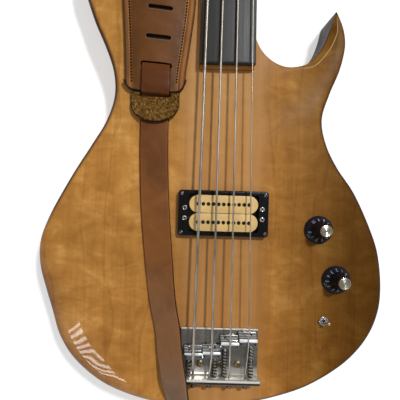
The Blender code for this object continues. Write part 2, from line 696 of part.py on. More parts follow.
def string_path(i, per_turn=WINDING_POINTS):
    """Centre line of a string: lip, crest, nut, then a climbing helix round its post."""
    r = STRING_RADII[i]
    lip = (SADDLE_X[i] + LIP_HOLE_OFFSET[i], LIP_BACK - SEAT, PLATE_TOP + LIP_HOLE_HEIGHT)
    lip_front = (lip[0], LIP_FRONT + 0.6 * MM, lip[2])
    kink = (SADDLE_X[i], CREST_Y[i] - LEVEL_RUN, STRING_Z)
    front = (SADDLE_X[i], CREST_Y[i] + 9 * MM, STRING_Z)
    nut = np.array((NUT_X[i], SCALE_LENGTH, string_height_at_nut(i)))
    behind = nut + (0, NUT_LENGTH * 0.7, -0.25 * MM)
    px, py = POST_PLACES[i]
    way = 1 if px < 0 else -1
    reach = POST_RADIUS + SEAT + r
    dx, dy = px - behind[0], py - behind[1]
    far = math.hypot(dx, dy)
    aim = math.atan2(dy, dx) - way * math.asin(reach / far)
    run = math.sqrt(far * far - reach * reach)
    start = aim - way * math.pi / 2
    low = HEAD_TOP + 4.2 * MM + r
    pitch = 2 * r + WINDING_GAP
    straight = [np.array((behind[0] + run * s * math.cos(aim), behind[1] + run * s * math.sin(aim),
                          behind[2] + (low - behind[2]) * s)) for s in (0.0, 0.5)]
    coil = []
    for k in range(int(WINDING_TURNS * per_turn) + 1):
        a = start + way * 2 * math.pi * k / per_turn
        coil.append((px + reach * math.cos(a), py + reach * math.sin(a), low + pitch * k / per_turn))
    last = np.array(coil[-1]) + (np.array(coil[-1]) - coil[-2]) / np.linalg.norm(np.array(coil[-1]) - coil[-2]) * 2 * r
    gap = nearest_gap(coil, r, math.pi * reach)
    return [lip, lip_front, kink, front, tuple(nut), *straight, *coil, tuple(last)], gap


def make_strings():
    for i, name in enumerate(STRING_NAMES):
        path, gap = string_path(i)
        print(f"string_{name}: least gap between its turns {gap * 1000:.2f} mm")
        ball = rod(BALL_RADIUS, 0, BALL_LENGTH, 8)
        lip = np.array(path[0])
        ball = along(ball, "-Y", lip)
        string = add(f"string_{name}", tube([lip - (0, BALL_LENGTH / 2, 0), *path], STRING_RADII[i], STRING_SIDES),
                     "steel", sharp=50)
        fuse(string, "ball", [ball])


def make_bridge_plate():
    half = PLATE_WIDTH / 2
    profile = [
        (PLATE_FRONT, PLATE_LOW), (PLATE_FRONT, PLATE_TOP - 1 * MM), (PLATE_FRONT - 1 * MM, PLATE_TOP),
        (LIP_FRONT + 1.2 * MM, PLATE_TOP), (LIP_FRONT, PLATE_TOP + 1.2 * MM),
        (LIP_FRONT, PLATE_TOP + LIP_HEIGHT - 0.8 * MM), (LIP_FRONT - 0.8 * MM, PLATE_TOP + LIP_HEIGHT),
        (LIP_BACK + 1.4 * MM, PLATE_TOP + LIP_HEIGHT), (LIP_BACK, PLATE_TOP + LIP_HEIGHT - 1.4 * MM),
        (LIP_BACK, PLATE_LOW),
    ]
    rings = [np.array([(x, y, z) for y, z in profile]) for x in (-half, half)]
    plate = add("bridge_plate", loft(rings), "chrome")
    holes = []
    for i, r in enumerate(STRING_RADII):
        string = rod(r + SEAT, LIP_BACK - 3 * MM, LIP_FRONT + 3 * MM, 8)
        x = SADDLE_X[i] + LIP_HOLE_OFFSET[i]
        holes.append(along(string, "+Y", (x, 0, PLATE_TOP + LIP_HOLE_HEIGHT)))
        screw = rod(INTONATION_RADIUS + 0.2 * MM, LIP_BACK - 3 * MM, LIP_FRONT + 3 * MM, 8)
        holes.append(along(screw, "+Y", (SADDLE_X[i] + SCREW_OFFSET[i], 0, SCREW_Z)))
    cut(plate, "lip_holes", joined(holes))
    screw = pan_screw(3.4 * MM, 2 * MM, 1.9 * MM, PLATE_THICK + BRIDGE_SCREW_DEPTH, 8)
    fuse(plate, "screws", [moved(screw, (x, y, PLATE_TOP - SUNK)) for x, y in bridge_screw_places()])


def pan_screw(head, head_height, shank, length, sides=10):
    """Round-headed screw pointing down, its head's seat at zero."""
    return turned([(shank * 0.5, -length), (shank, 0), (head, 0), (head, head_height * 0.4),
                   (head * 0.6, head_height)], sides)


def make_saddles():
    low, ledge = PLATE_TOP + SADDLE_LIFT, PLATE_TOP + LEDGE_HEIGHT
    for i, name in enumerate(STRING_NAMES):
        x, y = SADDLE_X[i], CREST_Y[i]
        crest = STRING_Z - STRING_RADII[i] - SEAT
        rise = crest - low
        half = SADDLE_WIDTH / 2
        profile = [
            (SADDLE_FRONT, low), (SADDLE_FRONT, low + 0.3 * rise), (SADDLE_FRONT - 2 * MM, low + 0.3 * rise),
            (SADDLE_FRONT - 2 * MM, low + 0.58 * rise), (SADDLE_FRONT - 3.8 * MM, low + 0.58 * rise),
            (1.3 * MM, crest - 1 * MM), (0.6 * MM, crest - 0.1 * MM), (0, crest), (-0.6 * MM, crest - 0.1 * MM),
            (-1.3 * MM, crest - 1 * MM), (-1.6 * MM, ledge), (-SADDLE_REAR, ledge), (-SADDLE_REAR, low),
        ]
        rings = [np.array([(x + s * half, y + a, z) for a, z in profile]) for s in (-1, 1)]
        pin = rod(HEIGHT_SCREW_RADIUS, PLATE_TOP + SEAT, low + 1 * MM, 8)
        spread = [(x + s * HEIGHT_SCREW_SPREAD / 2, y - 3.6 * MM) for s in (-1, 1)]
        block = add(f"saddle_{name}", loft(rings), "chrome", at=(x, y, SCREW_Z))
        bore = rod(INTONATION_RADIUS + 0.25 * MM, y - 10 * MM, y + 10 * MM, 8)
        cut(block, "screw_bore", along(bore, "+Y", (x + SCREW_OFFSET[i], 0, SCREW_Z)))
        wells = [rod(HEIGHT_SCREW_RADIUS + 0.2 * MM, ledge - 1.6 * MM, ledge + 1 * MM, 8, p) for p in spread]
        cut(block, "height_wells", joined(wells))
        fuse(block, "height_screws", [moved(pin, (px, py, 0)) for px, py in spread])


def make_intonation():
    for i, name in enumerate(STRING_NAMES):
        x = SADDLE_X[i] + SCREW_OFFSET[i]
        rear = CREST_Y[i] - SADDLE_REAR
        head = LIP_BACK - SEAT
        profile = [(1.9 * MM, head - 2 * MM), (2.1 * MM, head - 1.4 * MM), (2.1 * MM, head),
                   (INTONATION_RADIUS, head), (INTONATION_RADIUS, rear + 7 * MM),
                   (INTONATION_RADIUS * 0.5, rear + 8 * MM)]
        screw = add(f"intonation_screw_{name}", along(turned(profile, 8), "+Y", (x, 0, SCREW_Z)), "chrome",
                    at=(x, head, SCREW_Z))
        slot = box((x - 3 * MM, head - 3 * MM, SCREW_Z - 0.35 * MM), (x + 3 * MM, head - 1.2 * MM, SCREW_Z + 0.35 * MM))
        cut(screw, "slot", slot)
        first, last = LIP_FRONT + SEAT, rear - SEAT
        free = last - first - 2 * SPRING_WIRE
        curls = round(free / SPRING_PITCH)
        line = [(x + SPRING_RADIUS, first, SCREW_Z)]
        for k in range(curls * SPRING_POINTS + 1):
            a = 2 * math.pi * k / SPRING_POINTS
            y = first + SPRING_WIRE + free * k / (curls * SPRING_POINTS)
            line.append((x + SPRING_RADIUS * math.cos(a), y, SCREW_Z + SPRING_RADIUS * math.sin(a)))
        line.append((x + SPRING_RADIUS, last, SCREW_Z))
        gap = nearest_gap(line, SPRING_WIRE / 2, math.pi * SPRING_RADIUS)
        print(f"intonation_spring_{name}: {curls} curls, least gap between them {gap * 1000:.2f} mm")
        add(f"intonation_spring_{name}", tube(line, SPRING_WIRE / 2, 5), "steel", sharp=80)


def make_pickup():
    low = BODY_THICK + SEAT
    half = (RING_LENGTH / 2, RING_WIDTH / 2)
    outline = rounded_rectangle((-half[0], PICKUP_Y - half[1]), (half[0], PICKUP_Y + half[1]), 3 * MM, 4)
    ring_top = low + RING_HEIGHT
    top_outline = outline + inward(outline) * 1.2 * MM
    rings = [flat_ring(outline, low), flat_ring(outline, ring_top - 1.4 * MM), flat_ring(top_outline, ring_top)]
    ring = add("pickup_ring", loft(rings), "black")
    opening = (BOBBIN_LENGTH / 2 + PICKUP_GAP, BOBBIN_WIDTH + PICKUP_GAP)
    hole = rounded_rectangle((-opening[0], PICKUP_Y - opening[1]), (opening[0], PICKUP_Y + opening[1]), 3 * MM, 4)
    cut(ring, "opening", prism(hole, low - 2 * MM, ring_top + 2 * MM))
    well = rounded_rectangle((-EAR_SPREAD / 2 - 4 * MM, PICKUP_Y - 9 * MM), (EAR_SPREAD / 2 + 4 * MM, PICKUP_Y + 9 * MM), 2 * MM, 3)
    cut(ring, "ear_well", prism(well, low - 2 * MM, ring_top - 2.4 * MM))
    screw = pan_screw(2.2 * MM, 1.6 * MM, 1.1 * MM, RING_HEIGHT + HEIGHT_SCREW_DEPTH, 6)
    wood = pan_screw(2.5 * MM, 1.5 * MM, 1.1 * MM, RING_HEIGHT + 9 * MM, 6)
    z = ring_top - SUNK
    fuse(ring, "screws", [moved(screw, (x, y, z)) for x, y in height_screw_places()]
         + [moved(wood, (x, y, z)) for x, y in ring_screw_places()])
    top = BODY_THICK + BOBBIN_TOP
    base = top - BOBBIN_HEIGHT
    for side, name in ((1, "front"), (-1, "rear")):
        y = PICKUP_Y + side * (BOBBIN_WIDTH + SEAT) / 2
        end = BOBBIN_WIDTH / 2
        form = rounded_rectangle((-BOBBIN_LENGTH / 2, y - end), (BOBBIN_LENGTH / 2, y + end), end - 0.01 * MM, 6)
        far, near = BOBBIN_LENGTH / 2 - 0.5 * MM, end - 0.5 * MM
        eased = rounded_rectangle((-far, y - near), (far, y + near), near - 0.01 * MM, 6)
        shape = loft([flat_ring(form, base), flat_ring(form, top - 0.5 * MM), flat_ring(eased, top)])
        bobbin = add(f"pickup_{name}_bobbin", shape, "cream")
        places = [((k - (POLE_COUNT - 1) / 2) * POLE_PITCH, y) for k in range(POLE_COUNT)]
        cut(bobbin, "pole_wells", joined([rod(POLE_RADIUS, top - 0.6 * MM, top + 1 * MM, 6, p) for p in places]))
    base_low = base - SEAT - 1.2 * MM
    plate = [(-BOBBIN_LENGTH / 2, -BOBBIN_WIDTH), (BOBBIN_LENGTH / 2, -BOBBIN_WIDTH), (BOBBIN_LENGTH / 2, -7 * MM),
             (EAR_SPREAD / 2 + 3.4 * MM, -7 * MM), (EAR_SPREAD / 2 + 3.4 * MM, 7 * MM), (BOBBIN_LENGTH / 2, 7 * MM),
             (BOBBIN_LENGTH / 2, BOBBIN_WIDTH), (-BOBBIN_LENGTH / 2, BOBBIN_WIDTH), (-BOBBIN_LENGTH / 2, 7 * MM),
             (-EAR_SPREAD / 2 - 3.4 * MM, 7 * MM), (-EAR_SPREAD / 2 - 3.4 * MM, -7 * MM), (-BOBBIN_LENGTH / 2, -7 * MM)]
    sheet = add("pickup_baseplate", moved(prism(plate, base_low, base - SEAT), (0, PICKUP_Y, 0)), "steel")
    bores = [rod(1.3 * MM, base_low - 2 * MM, base + 2 * MM, 8, p) for p in height_screw_places()]
    cut(sheet, "screw_holes", joined(bores))


def make_controls():
    wall_low = BODY_THICK - TOP_WALL - SEAT
    low = BODY_THICK + SEAT
    for name, (x, y) in KNOB_PLACES.items():
        can = turned_tube([(POT_RADIUS, wall_low - POT_HEIGHT), (POT_RADIUS, wall_low), (BUSHING_RADIUS, wall_low),
                           (BUSHING_RADIUS, BODY_THICK + BUSHING_RISE)], SHAFT_RADIUS + SEAT, 12)
        add(f"{name}_pot", moved(can, (x, y, 0)), "steel")
        shaft_top = low + SHAFT_HEIGHT
        shaft = turned([(SHAFT_RADIUS, wall_low - POT_HEIGHT + 1 * MM), (SHAFT_RADIUS, shaft_top - 0.6 * MM),
                        (SHAFT_RADIUS - 0.6 * MM, shaft_top)], 10)
        add(f"{name}_pot_shaft", moved(shaft, (x, y, 0)), "steel", at=(x, y, low))
        fuse(bpy.data.objects[f"{name}_pot"], "nut", [rod(7.2 * MM, low, low + 2.4 * MM, 6, (x, y))])
        cut(bpy.data.objects[f"{name}_pot"], "bore", rod(SHAFT_RADIUS + SEAT, low - 1 * MM, low + 5 * MM, 12, (x, y)))
        foot = low + SEAT
        top = BODY_THICK + KNOB_HEIGHT
        waist = foot + 8 * MM
        skirt = [(KNOB_SKIRT, foot), (KNOB_SKIRT, foot + 1.6 * MM), (KNOB_SKIRT - 2.6 * MM, foot + 3.4 * MM),
                 (KNOB_TOP + 2.2 * MM, waist), (KNOB_TOP + 0.7 * MM, waist + 4 * MM), (KNOB_TOP, top - 0.6 * MM),
                 (KNOB_TOP - 0.5 * MM, top)]
        knob = add(f"{name}_knob", moved(turned(skirt, 24), (x, y, 0)), "black", at=(x, y, low))
        cut(knob, "nut_recess", rod(9.4 * MM, foot - 2 * MM, low + BUSHING_RISE + 1 * MM, 12, (x, y)))
        cut(knob, "shaft_bore", rod(SHAFT_RADIUS + SEAT, foot, shaft_top + SEAT, 12, (x, y)))
        cap_low = top + SEAT
        cap = turned([(CAP_RADIUS, cap_low), (CAP_RADIUS, cap_low + 0.9 * MM), (CAP_RADIUS - 1 * MM, cap_low + 1.4 * MM)], 18)
        add(f"{name}_knob_cap", moved(cap, (x, y, 0)), "chrome", at=(x, y, low))
    sx, sy = SWITCH_PLACE
    switch_low = wall_low - 10 * MM
    case = box((sx - 6.5 * MM, sy - 4 * MM, switch_low), (sx + 6.5 * MM, sy + 4 * MM, wall_low))
    bushing = rod(SWITCH_BUSHING, wall_low - 1 * MM, BODY_THICK + SWITCH_RISE, 12, SWITCH_PLACE)
    switch = add("switch_body", case, "steel")
    ring_nut = rod(4.6 * MM, low, low + 1.9 * MM, 16, SWITCH_PLACE)
    fuse(switch, "bushing", [bushing, ring_nut])
    pivot = BODY_THICK + SWITCH_RISE - 2 * MM
    cone = turned([(1.8 * MM, pivot - 2.2 * MM), (2.6 * MM, BODY_THICK + SWITCH_RISE + 1 * MM)], 12)
    cut(switch, "lever_well", moved(cone, (sx, sy, 0)))
    lever = turned([(0.9 * MM, -1.2 * MM), (1 * MM, 0), (1.1 * MM, 3 * MM), (1.4 * MM, LEVER_LENGTH - 1.2 * MM),
                    (0.8 * MM, LEVER_LENGTH)], 10)
    v, faces = lever
    lean = LEVER_LEAN
    tilted = np.column_stack([v[:, 0] * math.cos(lean) + v[:, 2] * math.sin(lean), v[:, 1],
                              v[:, 2] * math.cos(lean) - v[:, 0] * math.sin(lean)])
    add("switch_lever", (tilted + (sx, sy, pivot), faces), "chrome", at=(sx, sy, pivot))
    inside = CONTROL_HIGH[0] - SEAT
    depth = JACK_RIM - inside + 7 * MM
    jack = [(JACK_RADIUS, -depth), (JACK_RADIUS, SEAT), (JACK_FLANGE, SEAT), (JACK_FLANGE, SEAT + 1.6 * MM),
            (JACK_FLANGE - 0.8 * MM, SEAT + JACK_FLANGE_THICK)]
    jack = add("output_jack", along(turned_tube(jack, JACK_BORE, 12), "+X", (JACK_RIM, JACK_Y, RIM_Z)), "chrome")
    nut = along(rod(8 * MM, 0, 2.5 * MM, 6), "-X", (inside, JACK_Y, RIM_Z))
    fuse(jack, "nut", [nut])
    bore = along(rod(JACK_BORE, -depth - 2 * MM, 8 * MM, 12), "+X", (JACK_RIM, JACK_Y, RIM_Z))
    cut(jack, "bore", bore)


def turned_at(radius, place):
    """Shallow well for a screw head in the underside of the cover."""
    return rod(radius, -2 * MM, 0.5 * MM, 8, place)


def make_back():
    low = np.array(CONTROL_LOW) - COVER_LEDGE + SEAT
    high = np.array(CONTROL_HIGH) + COVER_LEDGE - SEAT
    outline = rounded_rectangle(low, high, CONTROL_CORNER + COVER_LEDGE - SEAT)
    cover = add("cavity_cover", prism(outline, 0, BACK_PLATE), "black")
    places = cover_screw_places()
    cut(cover, "head_wells", joined([turned_at(3 * MM, p) for p in places]))
    tip = COVER_SCREW
    shank = turned([(1.4 * MM, 1.2 * MM), (1.4 * MM, tip - 2 * MM), (0.6 * MM, tip)], 6)
    fuse(cover, "screws", [moved(shank, (x, y, 0)) for x, y in places])
    rise = BUTTON_HEIGHT
    profile = [(0.8 * MM, -BUTTON_SCREW), (2 * MM, 3 * MM - BUTTON_SCREW), (2 * MM, SEAT),
               (BUTTON_RADIUS - 1 * MM, SEAT),
               (BUTTON_RADIUS - 1 * MM, 1.6 * MM), (BUTTON_NECK, 4 * MM), (BUTTON_NECK, rise - 4.5 * MM),
               (BUTTON_RADIUS, rise - 2.2 * MM), (BUTTON_RADIUS - 0.3 * MM, rise - 0.8 * MM),
               (BUTTON_RADIUS - 2 * MM, rise)]
    button = turned(profile, 12)
    add("horn_strap_button", along(button, "+Y", (HORN_BUTTON_X, HORN_RIM, RIM_Z)), "chrome")
    add("tail_strap_button", along(button, "-Y", (TAIL_BUTTON_X, TAIL_RIM, RIM_Z)), "chrome")


def plate_screws(post):
    """Four screw places round a tuner's base plate."""
    x, y = post
    return [(x - 12.2 * MM, y + 9.2 * MM), (x + 12.2 * MM, y + 9.2 * MM),
            (x - 12.2 * MM, y - 21.2 * MM), (x + 12.2 * MM, y - 21.2 * MM)]


def gear_shape():
    """Worm wheel: trapezoid teeth, twisted by the worm's lead angle."""
    pitch = 2 * math.pi / GEAR_TEETH
    flank = math.tan(math.radians(20))
    thick = 0.4 * WORM_LEAD
    tip = (thick / 2 - TOOTH_HEIGHT * flank) / (GEAR_RADIUS + TOOTH_HEIGHT)
    root = (thick / 2 + TOOTH_ROOT * flank) / (GEAR_RADIUS - TOOTH_ROOT)
    lead_slope = WORM_LEAD / (2 * math.pi * WORM_RADIUS) / GEAR_RADIUS
    rings = []
    for z in (-GEAR_THICK / 2, GEAR_THICK / 2):
        ring = []
        for k in range(GEAR_TEETH):
            a = -math.pi / 2 + (k + 0.5) * pitch + lead_slope * z
            for r, b in ((GEAR_RADIUS - TOOTH_ROOT, -root), (GEAR_RADIUS + TOOTH_HEIGHT, -tip),
                         (GEAR_RADIUS + TOOTH_HEIGHT, tip), (GEAR_RADIUS - TOOTH_ROOT, root)):
                ring.append((r * math.cos(a + b), r * math.sin(a + b), z))
        rings.append(np.array(ring))
    return loft(rings)


def worm_radius(x, turn):
    """Thread radius at a place along the worm and an angle round it, right-handed about X."""
    phase = x / WORM_LEAD - turn / (2 * math.pi)
    wave = 1.15 * np.cos(2 * math.pi * phase)
    ends = ease(WORM_LENGTH / 2 - abs(x), 0, 0.5 * WORM_LEAD)
    middle, swing = (WORM_OUTER + WORM_ROOT) / 2, (WORM_OUTER - WORM_ROOT) / 2
    return WORM_ROOT + (middle + swing * np.clip(wave - 0.15, -1, 1) - WORM_ROOT) * ends


def key_shapes(side, x, sides=8):
    """Shaft with a worm on it, along X, and the paddle at its outer end."""
    turns = np.arange(sides) * 2 * math.pi / sides
    inner, outer = -WORM_LENGTH / 2 - 4.5 * MM, KEY_OUT - abs(x)
    stations = [inner, -WORM_LENGTH / 2 - 0.3 * MM]
    stations += list(np.linspace(-WORM_LENGTH / 2, WORM_LENGTH / 2, 19))
    stations += [WORM_LENGTH / 2 + 0.3 * MM, outer + 4 * MM]
    rings = []
    for s in stations:
        place = side * s
        radius = worm_radius(place, turns) if abs(s) <= WORM_LENGTH / 2 else np.full(sides, KEY_SHAFT)
        rings.append(np.column_stack([np.full(sides, place), radius * np.cos(turns), radius * np.sin(turns)]))
    middle = side * (outer + PADDLE_LENGTH / 2)
    a = np.arange(14) * 2 * math.pi / 14
    oval = np.column_stack([PADDLE_LENGTH / 2 * np.sign(np.cos(a)) * abs(np.cos(a)) ** 0.75,
                            PADDLE_WIDTH / 2 * np.sign(np.sin(a)) * abs(np.sin(a)) ** 0.75])
    oval = oval + (middle, 0)
    paddle = loft([flat_ring((oval - (middle, 0)) * s + (middle, 0), z * MM)
                   for s, z in ((0.8, -3), (1, -1.4), (1, 1.4), (0.8, 3))])
    return loft(rings), paddle


def make_base_plate(name, post):
    """Plate under the headstock with two ears for the key's shaft and its four screws."""
    x, y = post
    worm_y = y - WORM_OFFSET
    low = PLATE_BACK - TUNER_PLATE
    outline = rounded_rectangle((x - 15 * MM, y - 24 * MM), (x + 15 * MM, y + 12 * MM), 2.5 * MM, 2)
    plate = add(f"tuner_base_{name}", prism(outline, low, PLATE_BACK), "chrome")
    ears = []
    for s in (-1, 1):
        ex = x + s * (WORM_LENGTH / 2 + 1.2 * MM + EAR_THICK / 2)
        ears.append(box((ex - EAR_THICK / 2, worm_y - 4.2 * MM, WORM_Z - 4 * MM),
                        (ex + EAR_THICK / 2, worm_y + 4.2 * MM, low + 0.5 * MM)))
    head = along(turned([(2.2 * MM, -0.5 * MM), (2.2 * MM, 0.6 * MM), (1.2 * MM, 1.4 * MM)], 6), "-Z")
    screws = [moved(head, (px, py, low)) for px, py in plate_screws(post)]
    fuse(plate, "ears", ears + screws)
    shaft = rod(KEY_SHAFT + 0.3 * MM, x - 12 * MM, x + 12 * MM, 8)
    bores = [rod(POST_RADIUS - SEAT, low - 2 * MM, PLATE_BACK + 2 * MM, 12, post),
             along(shaft, "+X", (0, worm_y, WORM_Z))]
    cut(plate, "bores", joined(bores))


def make_post(name, post):
    """String post with its slot, and the worm wheel held under it."""
    x, y = post
    spindle = POST_RADIUS - 0.6 * MM
    top = HEAD_TOP + POST_HEIGHT
    collar_top = HEAD_TOP + COLLAR_RISE + SEAT
    brim = POST_RADIUS + 0.9 * MM
    gear_low = WORM_Z - GEAR_THICK / 2
    profile = [
        (3.2 * MM, gear_low - 2.2 * MM), (3.8 * MM, gear_low - 1.4 * MM), (3.8 * MM, WORM_Z), (spindle, WORM_Z),
        (spindle, collar_top), (brim, collar_top), (brim, collar_top + 0.9 * MM), (POST_RADIUS, collar_top + 1.6 * MM),
        (POST_RADIUS, top - 2.6 * MM), (brim, top - 1.6 * MM), (brim, top - 0.5 * MM),
        (POST_RADIUS + 0.2 * MM, top),
    ]
    piece = add(f"tuner_post_{name}", moved(turned(profile, 12), (x, y, 0)), "chrome", at=(x, y, WORM_Z))
    fuse(piece, "wheel", [moved(gear_shape(), (x, y, WORM_Z))])
    slot = box((x - 10 * MM, y - 1.4 * MM, top - 2.2 * MM), (x + 10 * MM, y + 1.4 * MM, top + 2 * MM))
    cut(piece, "string_slot", slot)


def make_tuners():
    outer = POST_RADIUS + 1.7 * MM
    for name, post in zip(STRING_NAMES, POST_PLACES):
        x, y = post
        side = -1 if x < 0 else 1
        make_base_plate(name, post)
        make_post(name, post)
        collar = turned_tube([(outer, HEAD_TOP - 7 * MM), (outer, HEAD_TOP + SEAT), (outer + 2.1 * MM, HEAD_TOP + SEAT),
                              (outer + 1.7 * MM, HEAD_TOP + COLLAR_RISE)], POST_RADIUS - 0.2 * MM, 12)
        add(f"tuner_bushing_{name}", moved(collar, (x, y, 0)), "chrome")
        worm_y = y - WORM_OFFSET
        shaft, paddle = key_shapes(side, x)
        key = add(f"tuner_key_{name}", moved(shaft, (x, worm_y, WORM_Z)), "chrome", at=(x, worm_y, WORM_Z), sharp=50)
        fuse(key, "paddle", [moved(paddle, (x, worm_y, WORM_Z))])


FACE = BODY_THICK + 0.5 * MM
TAIL_MIDDLE = FACE + STRAP_THICK / 2
PAD_MIDDLE = FACE + PAD_THICK / 2
OVER_PAD = FACE + PAD_THICK + 0.5 * MM + STRAP_THICK / 2
# Narrow tail of the strap: place of its middle and direction of its face
TAIL_ROUTE = (
    ((11, -80.6, 16), (0, -1, 0)), ((0, -80.6, 21), (0, -1, 0)), ((-12, -81.2, 27.5), (-0.05, -1, 0.05)),
    ((-25, -80.5, 38), (-0.3, -0.85, 0.35)), ((-35, -74.5, 50), (-0.5, -0.5, 0.65)),
    ((-40.3, -60.1, 57.2), (-0.6, -0.15, 0.75)), ((-44.3, -41.8, 58.6), (-0.53, 0, 0.85)),
    ((-49.3, -14.6, 53.6), (-0.5, 0, 0.86)), ((-51.7, 4.2, 50.8), (-0.47, 0, 0.88)),
    ((-57.5, 33, 49.6), (-0.4, 0, 0.91)), ((-63.4, 82, 46.8), (-0.2, 0, 0.98)),
    ((-67.9, 131.4, TAIL_MIDDLE / MM + 0.3), (0, 0, 1)),
    ((-70.2, 181, TAIL_MIDDLE / MM), (0, 0, 1)), ((-70.4, 215, TAIL_MIDDLE / MM), (0, 0, 1)),
    ((-70.3, 226, TAIL_MIDDLE / MM), (0, 0, 1)), ((-70.3, 232.3, TAIL_MIDDLE / MM), (0, -0.15, 1)),
    ((-70.2, 235.6, 44.9), (0, -0.75, 0.65)), ((-70.2, 236.4, 47.4), (0, -1, 0.1)),
    ((-70.1, 237.3, 50), (0, -0.8, 0.6)), ((-70, 240.4, OVER_PAD / MM + 0.1), (0, -0.15, 1)),
    ((-70, 250, OVER_PAD / MM + 0.3), (0, 0, 1)), ((-70, 258.5, OVER_PAD / MM + 0.2), (0, 0.1, 1)),
    ((-70, 264.6, OVER_PAD / MM - 3), (0, 0.75, 0.65)),
)
# Padded part: middle, width and thickness, from its lower end over the horn, down to the
# floor beside the neck, round a fold and back to the horn's button
PAD_ROUTE = (
    ((-70.2, 239.5, 45.4), 47, 5), ((-70.6, 247, 46), 57.5, 7), ((-70.4, 264.6, 46), 61.5, 7),
    ((-69.3, 290, 46), 66.2, 7), ((-68.6, 327.4, 46), 72.4, 7), ((-70, 370, 46.2), 75, 7),
    ((-71.5, 415, 46.4), 76, 7), ((-72.5, 448, 46.2), 76, 7), ((-73.5, 475, 38), 76, 7),
    ((-74.5, 500, 25), 76, 7), ((-76, 530, 17.5), 76, 7), ((-78, 558, 21), 75, 7),
    ((-80, 582, 29), 74, 7), ((-82, 598, 27.5), 73, 7), ((-83.5, 605, 17), 72, 7),
    ((-85, 597, 7.4), 70, 7), ((-87, 576, 4.4), 68, 7), ((-91, 540, 4.2), 62, 6.6),
    ((-96, 500, 4), 52, 6), ((-100, 474, 4.2), 42, 5), ((-102.6, 458, 5.4), 36, 4), ((-103.4, 449, 8), 33, 3.2),
    ((-103.9, 442.8, 11.3), 31, 3), ((-104, 440, 18), 30, 3), ((-104, 440, 26), 29, 3), ((-104, 440, 33), 28, 3),
)


def make_strap():
    tail = smooth_line([(*p, *n) for p, n in TAIL_ROUTE], 2)
    centres, normals = tail[:, :3] * MM, tail[:, 3:]
    widths = np.full(len(tail), STRAP_WIDTH)
    piece = add("strap_tail", ribbon(centres, normals, widths, np.full(len(tail), STRAP_THICK), 0.2), "leather", sharp=50)
    hole = along(rod(BUTTON_NECK + 0.5 * MM, -6 * MM, 20 * MM, 12), "-Y", (TAIL_BUTTON_X, TAIL_RIM, RIM_Z))
    cut(piece, "button_hole", hole)
    pad = smooth_line([(*p, w, h) for p, w, h in PAD_ROUTE], 2)
    centres, widths, thicks = pad[:, :3] * MM, pad[:, 3] * MM, pad[:, 4] * MM
    run = np.gradient(centres, axis=0)
    normals = np.column_stack([np.zeros(len(run)), -run[:, 2], run[:, 1]])
    piece = add("strap_pad", ribbon(centres, normals, widths, thicks), "leather", sharp=50)
    hole = along(rod(BUTTON_NECK + 0.5 * MM, -6 * MM, 20 * MM, 12), "+Y", (HORN_BUTTON_X, HORN_RIM, RIM_Z))
    cut(piece, "button_hole", hole)
    top = FACE + PAD_THICK
    slots = [box((-70 * MM - STRAP_WIDTH / 2 - 1 * MM, LOOP_SLOT[0], top - 5 * MM),
                 (-70 * MM + STRAP_WIDTH / 2 + 1 * MM, LOOP_SLOT[1], top + 5 * MM))]
    for y in SPARE_SLOTS:
        slots.append(box((-80.2 * MM, y - 2 * MM, top - 5 * MM), (-55.4 * MM, y + 2 * MM, top + 5 * MM)))
    cut(piece, "slots", joined(slots))
    low = FACE + STRAP_THICK + 0.4 * MM
    a = np.linspace(0, -math.pi, 13)
    flap = np.column_stack([(-70.3 + 24 * np.cos(a)) * MM, (226 + 17.5 * np.sin(a)) * MM])
    flap = np.vstack([[(-46.5 * MM, FLAP_TOP)], flap, [(-94 * MM, FLAP_TOP)]])[::-1]
    piece = add("strap_flap", prism(flap, low, low + 2 * MM), "suede")
    slot = box((-70.2 * MM - STRAP_WIDTH / 2 - 1 * MM, FLAP_TOP - FLAP_NOTCH, low - 2 * MM),
               (-70.2 * MM + STRAP_WIDTH / 2 + 1 * MM, FLAP_TOP + 3 * MM, low + 5 * MM))
    cut(piece, "tail_slot", slot)


def main():
    for old in list(bpy.data.objects):
        bpy.data.objects.remove(old, do_unlink=True)
    make_body()
    make_neck()
    make_board()
    make_nut()
    make_truss_rod()
    make_strings()
    make_bridge_plate()
    make_saddles()
    make_intonation()
    make_pickup()
    make_controls()
    make_back()
    make_tuners()
    make_strap()


main()
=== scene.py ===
import math

import bmesh
import bpy
import numpy as np
from mathutils import Matrix


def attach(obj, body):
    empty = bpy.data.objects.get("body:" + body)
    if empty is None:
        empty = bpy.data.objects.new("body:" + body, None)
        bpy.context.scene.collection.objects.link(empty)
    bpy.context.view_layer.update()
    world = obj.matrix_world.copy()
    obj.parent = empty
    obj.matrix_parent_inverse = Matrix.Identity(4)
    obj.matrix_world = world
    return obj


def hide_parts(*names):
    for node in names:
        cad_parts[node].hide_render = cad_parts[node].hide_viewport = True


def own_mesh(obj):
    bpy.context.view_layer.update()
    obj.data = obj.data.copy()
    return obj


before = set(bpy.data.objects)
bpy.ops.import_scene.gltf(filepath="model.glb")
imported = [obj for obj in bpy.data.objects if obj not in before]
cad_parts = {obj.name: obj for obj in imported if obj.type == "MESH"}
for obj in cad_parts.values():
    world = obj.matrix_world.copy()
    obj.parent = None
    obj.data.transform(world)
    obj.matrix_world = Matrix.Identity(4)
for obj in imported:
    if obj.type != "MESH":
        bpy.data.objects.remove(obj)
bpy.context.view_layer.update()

MM = 0.001
STRING_NAMES = ("E", "A", "D", "G")


# Points and faces


def quads(rows, columns, close_rows=False, close_columns=False):
    """Faces of a grid of points that is numbered row by row, closed where asked."""
    i, j = np.meshgrid(np.arange(rows - (not close_rows)), np.arange(columns - (not close_columns)),
                       indexing="ij")
    down, right = (i + 1) % rows, (j + 1) % columns
    corners = [i * columns + j, i * columns + right, down * columns + right, down * columns + j]
    return np.stack(corners, axis=-1).reshape(-1, 4).tolist()


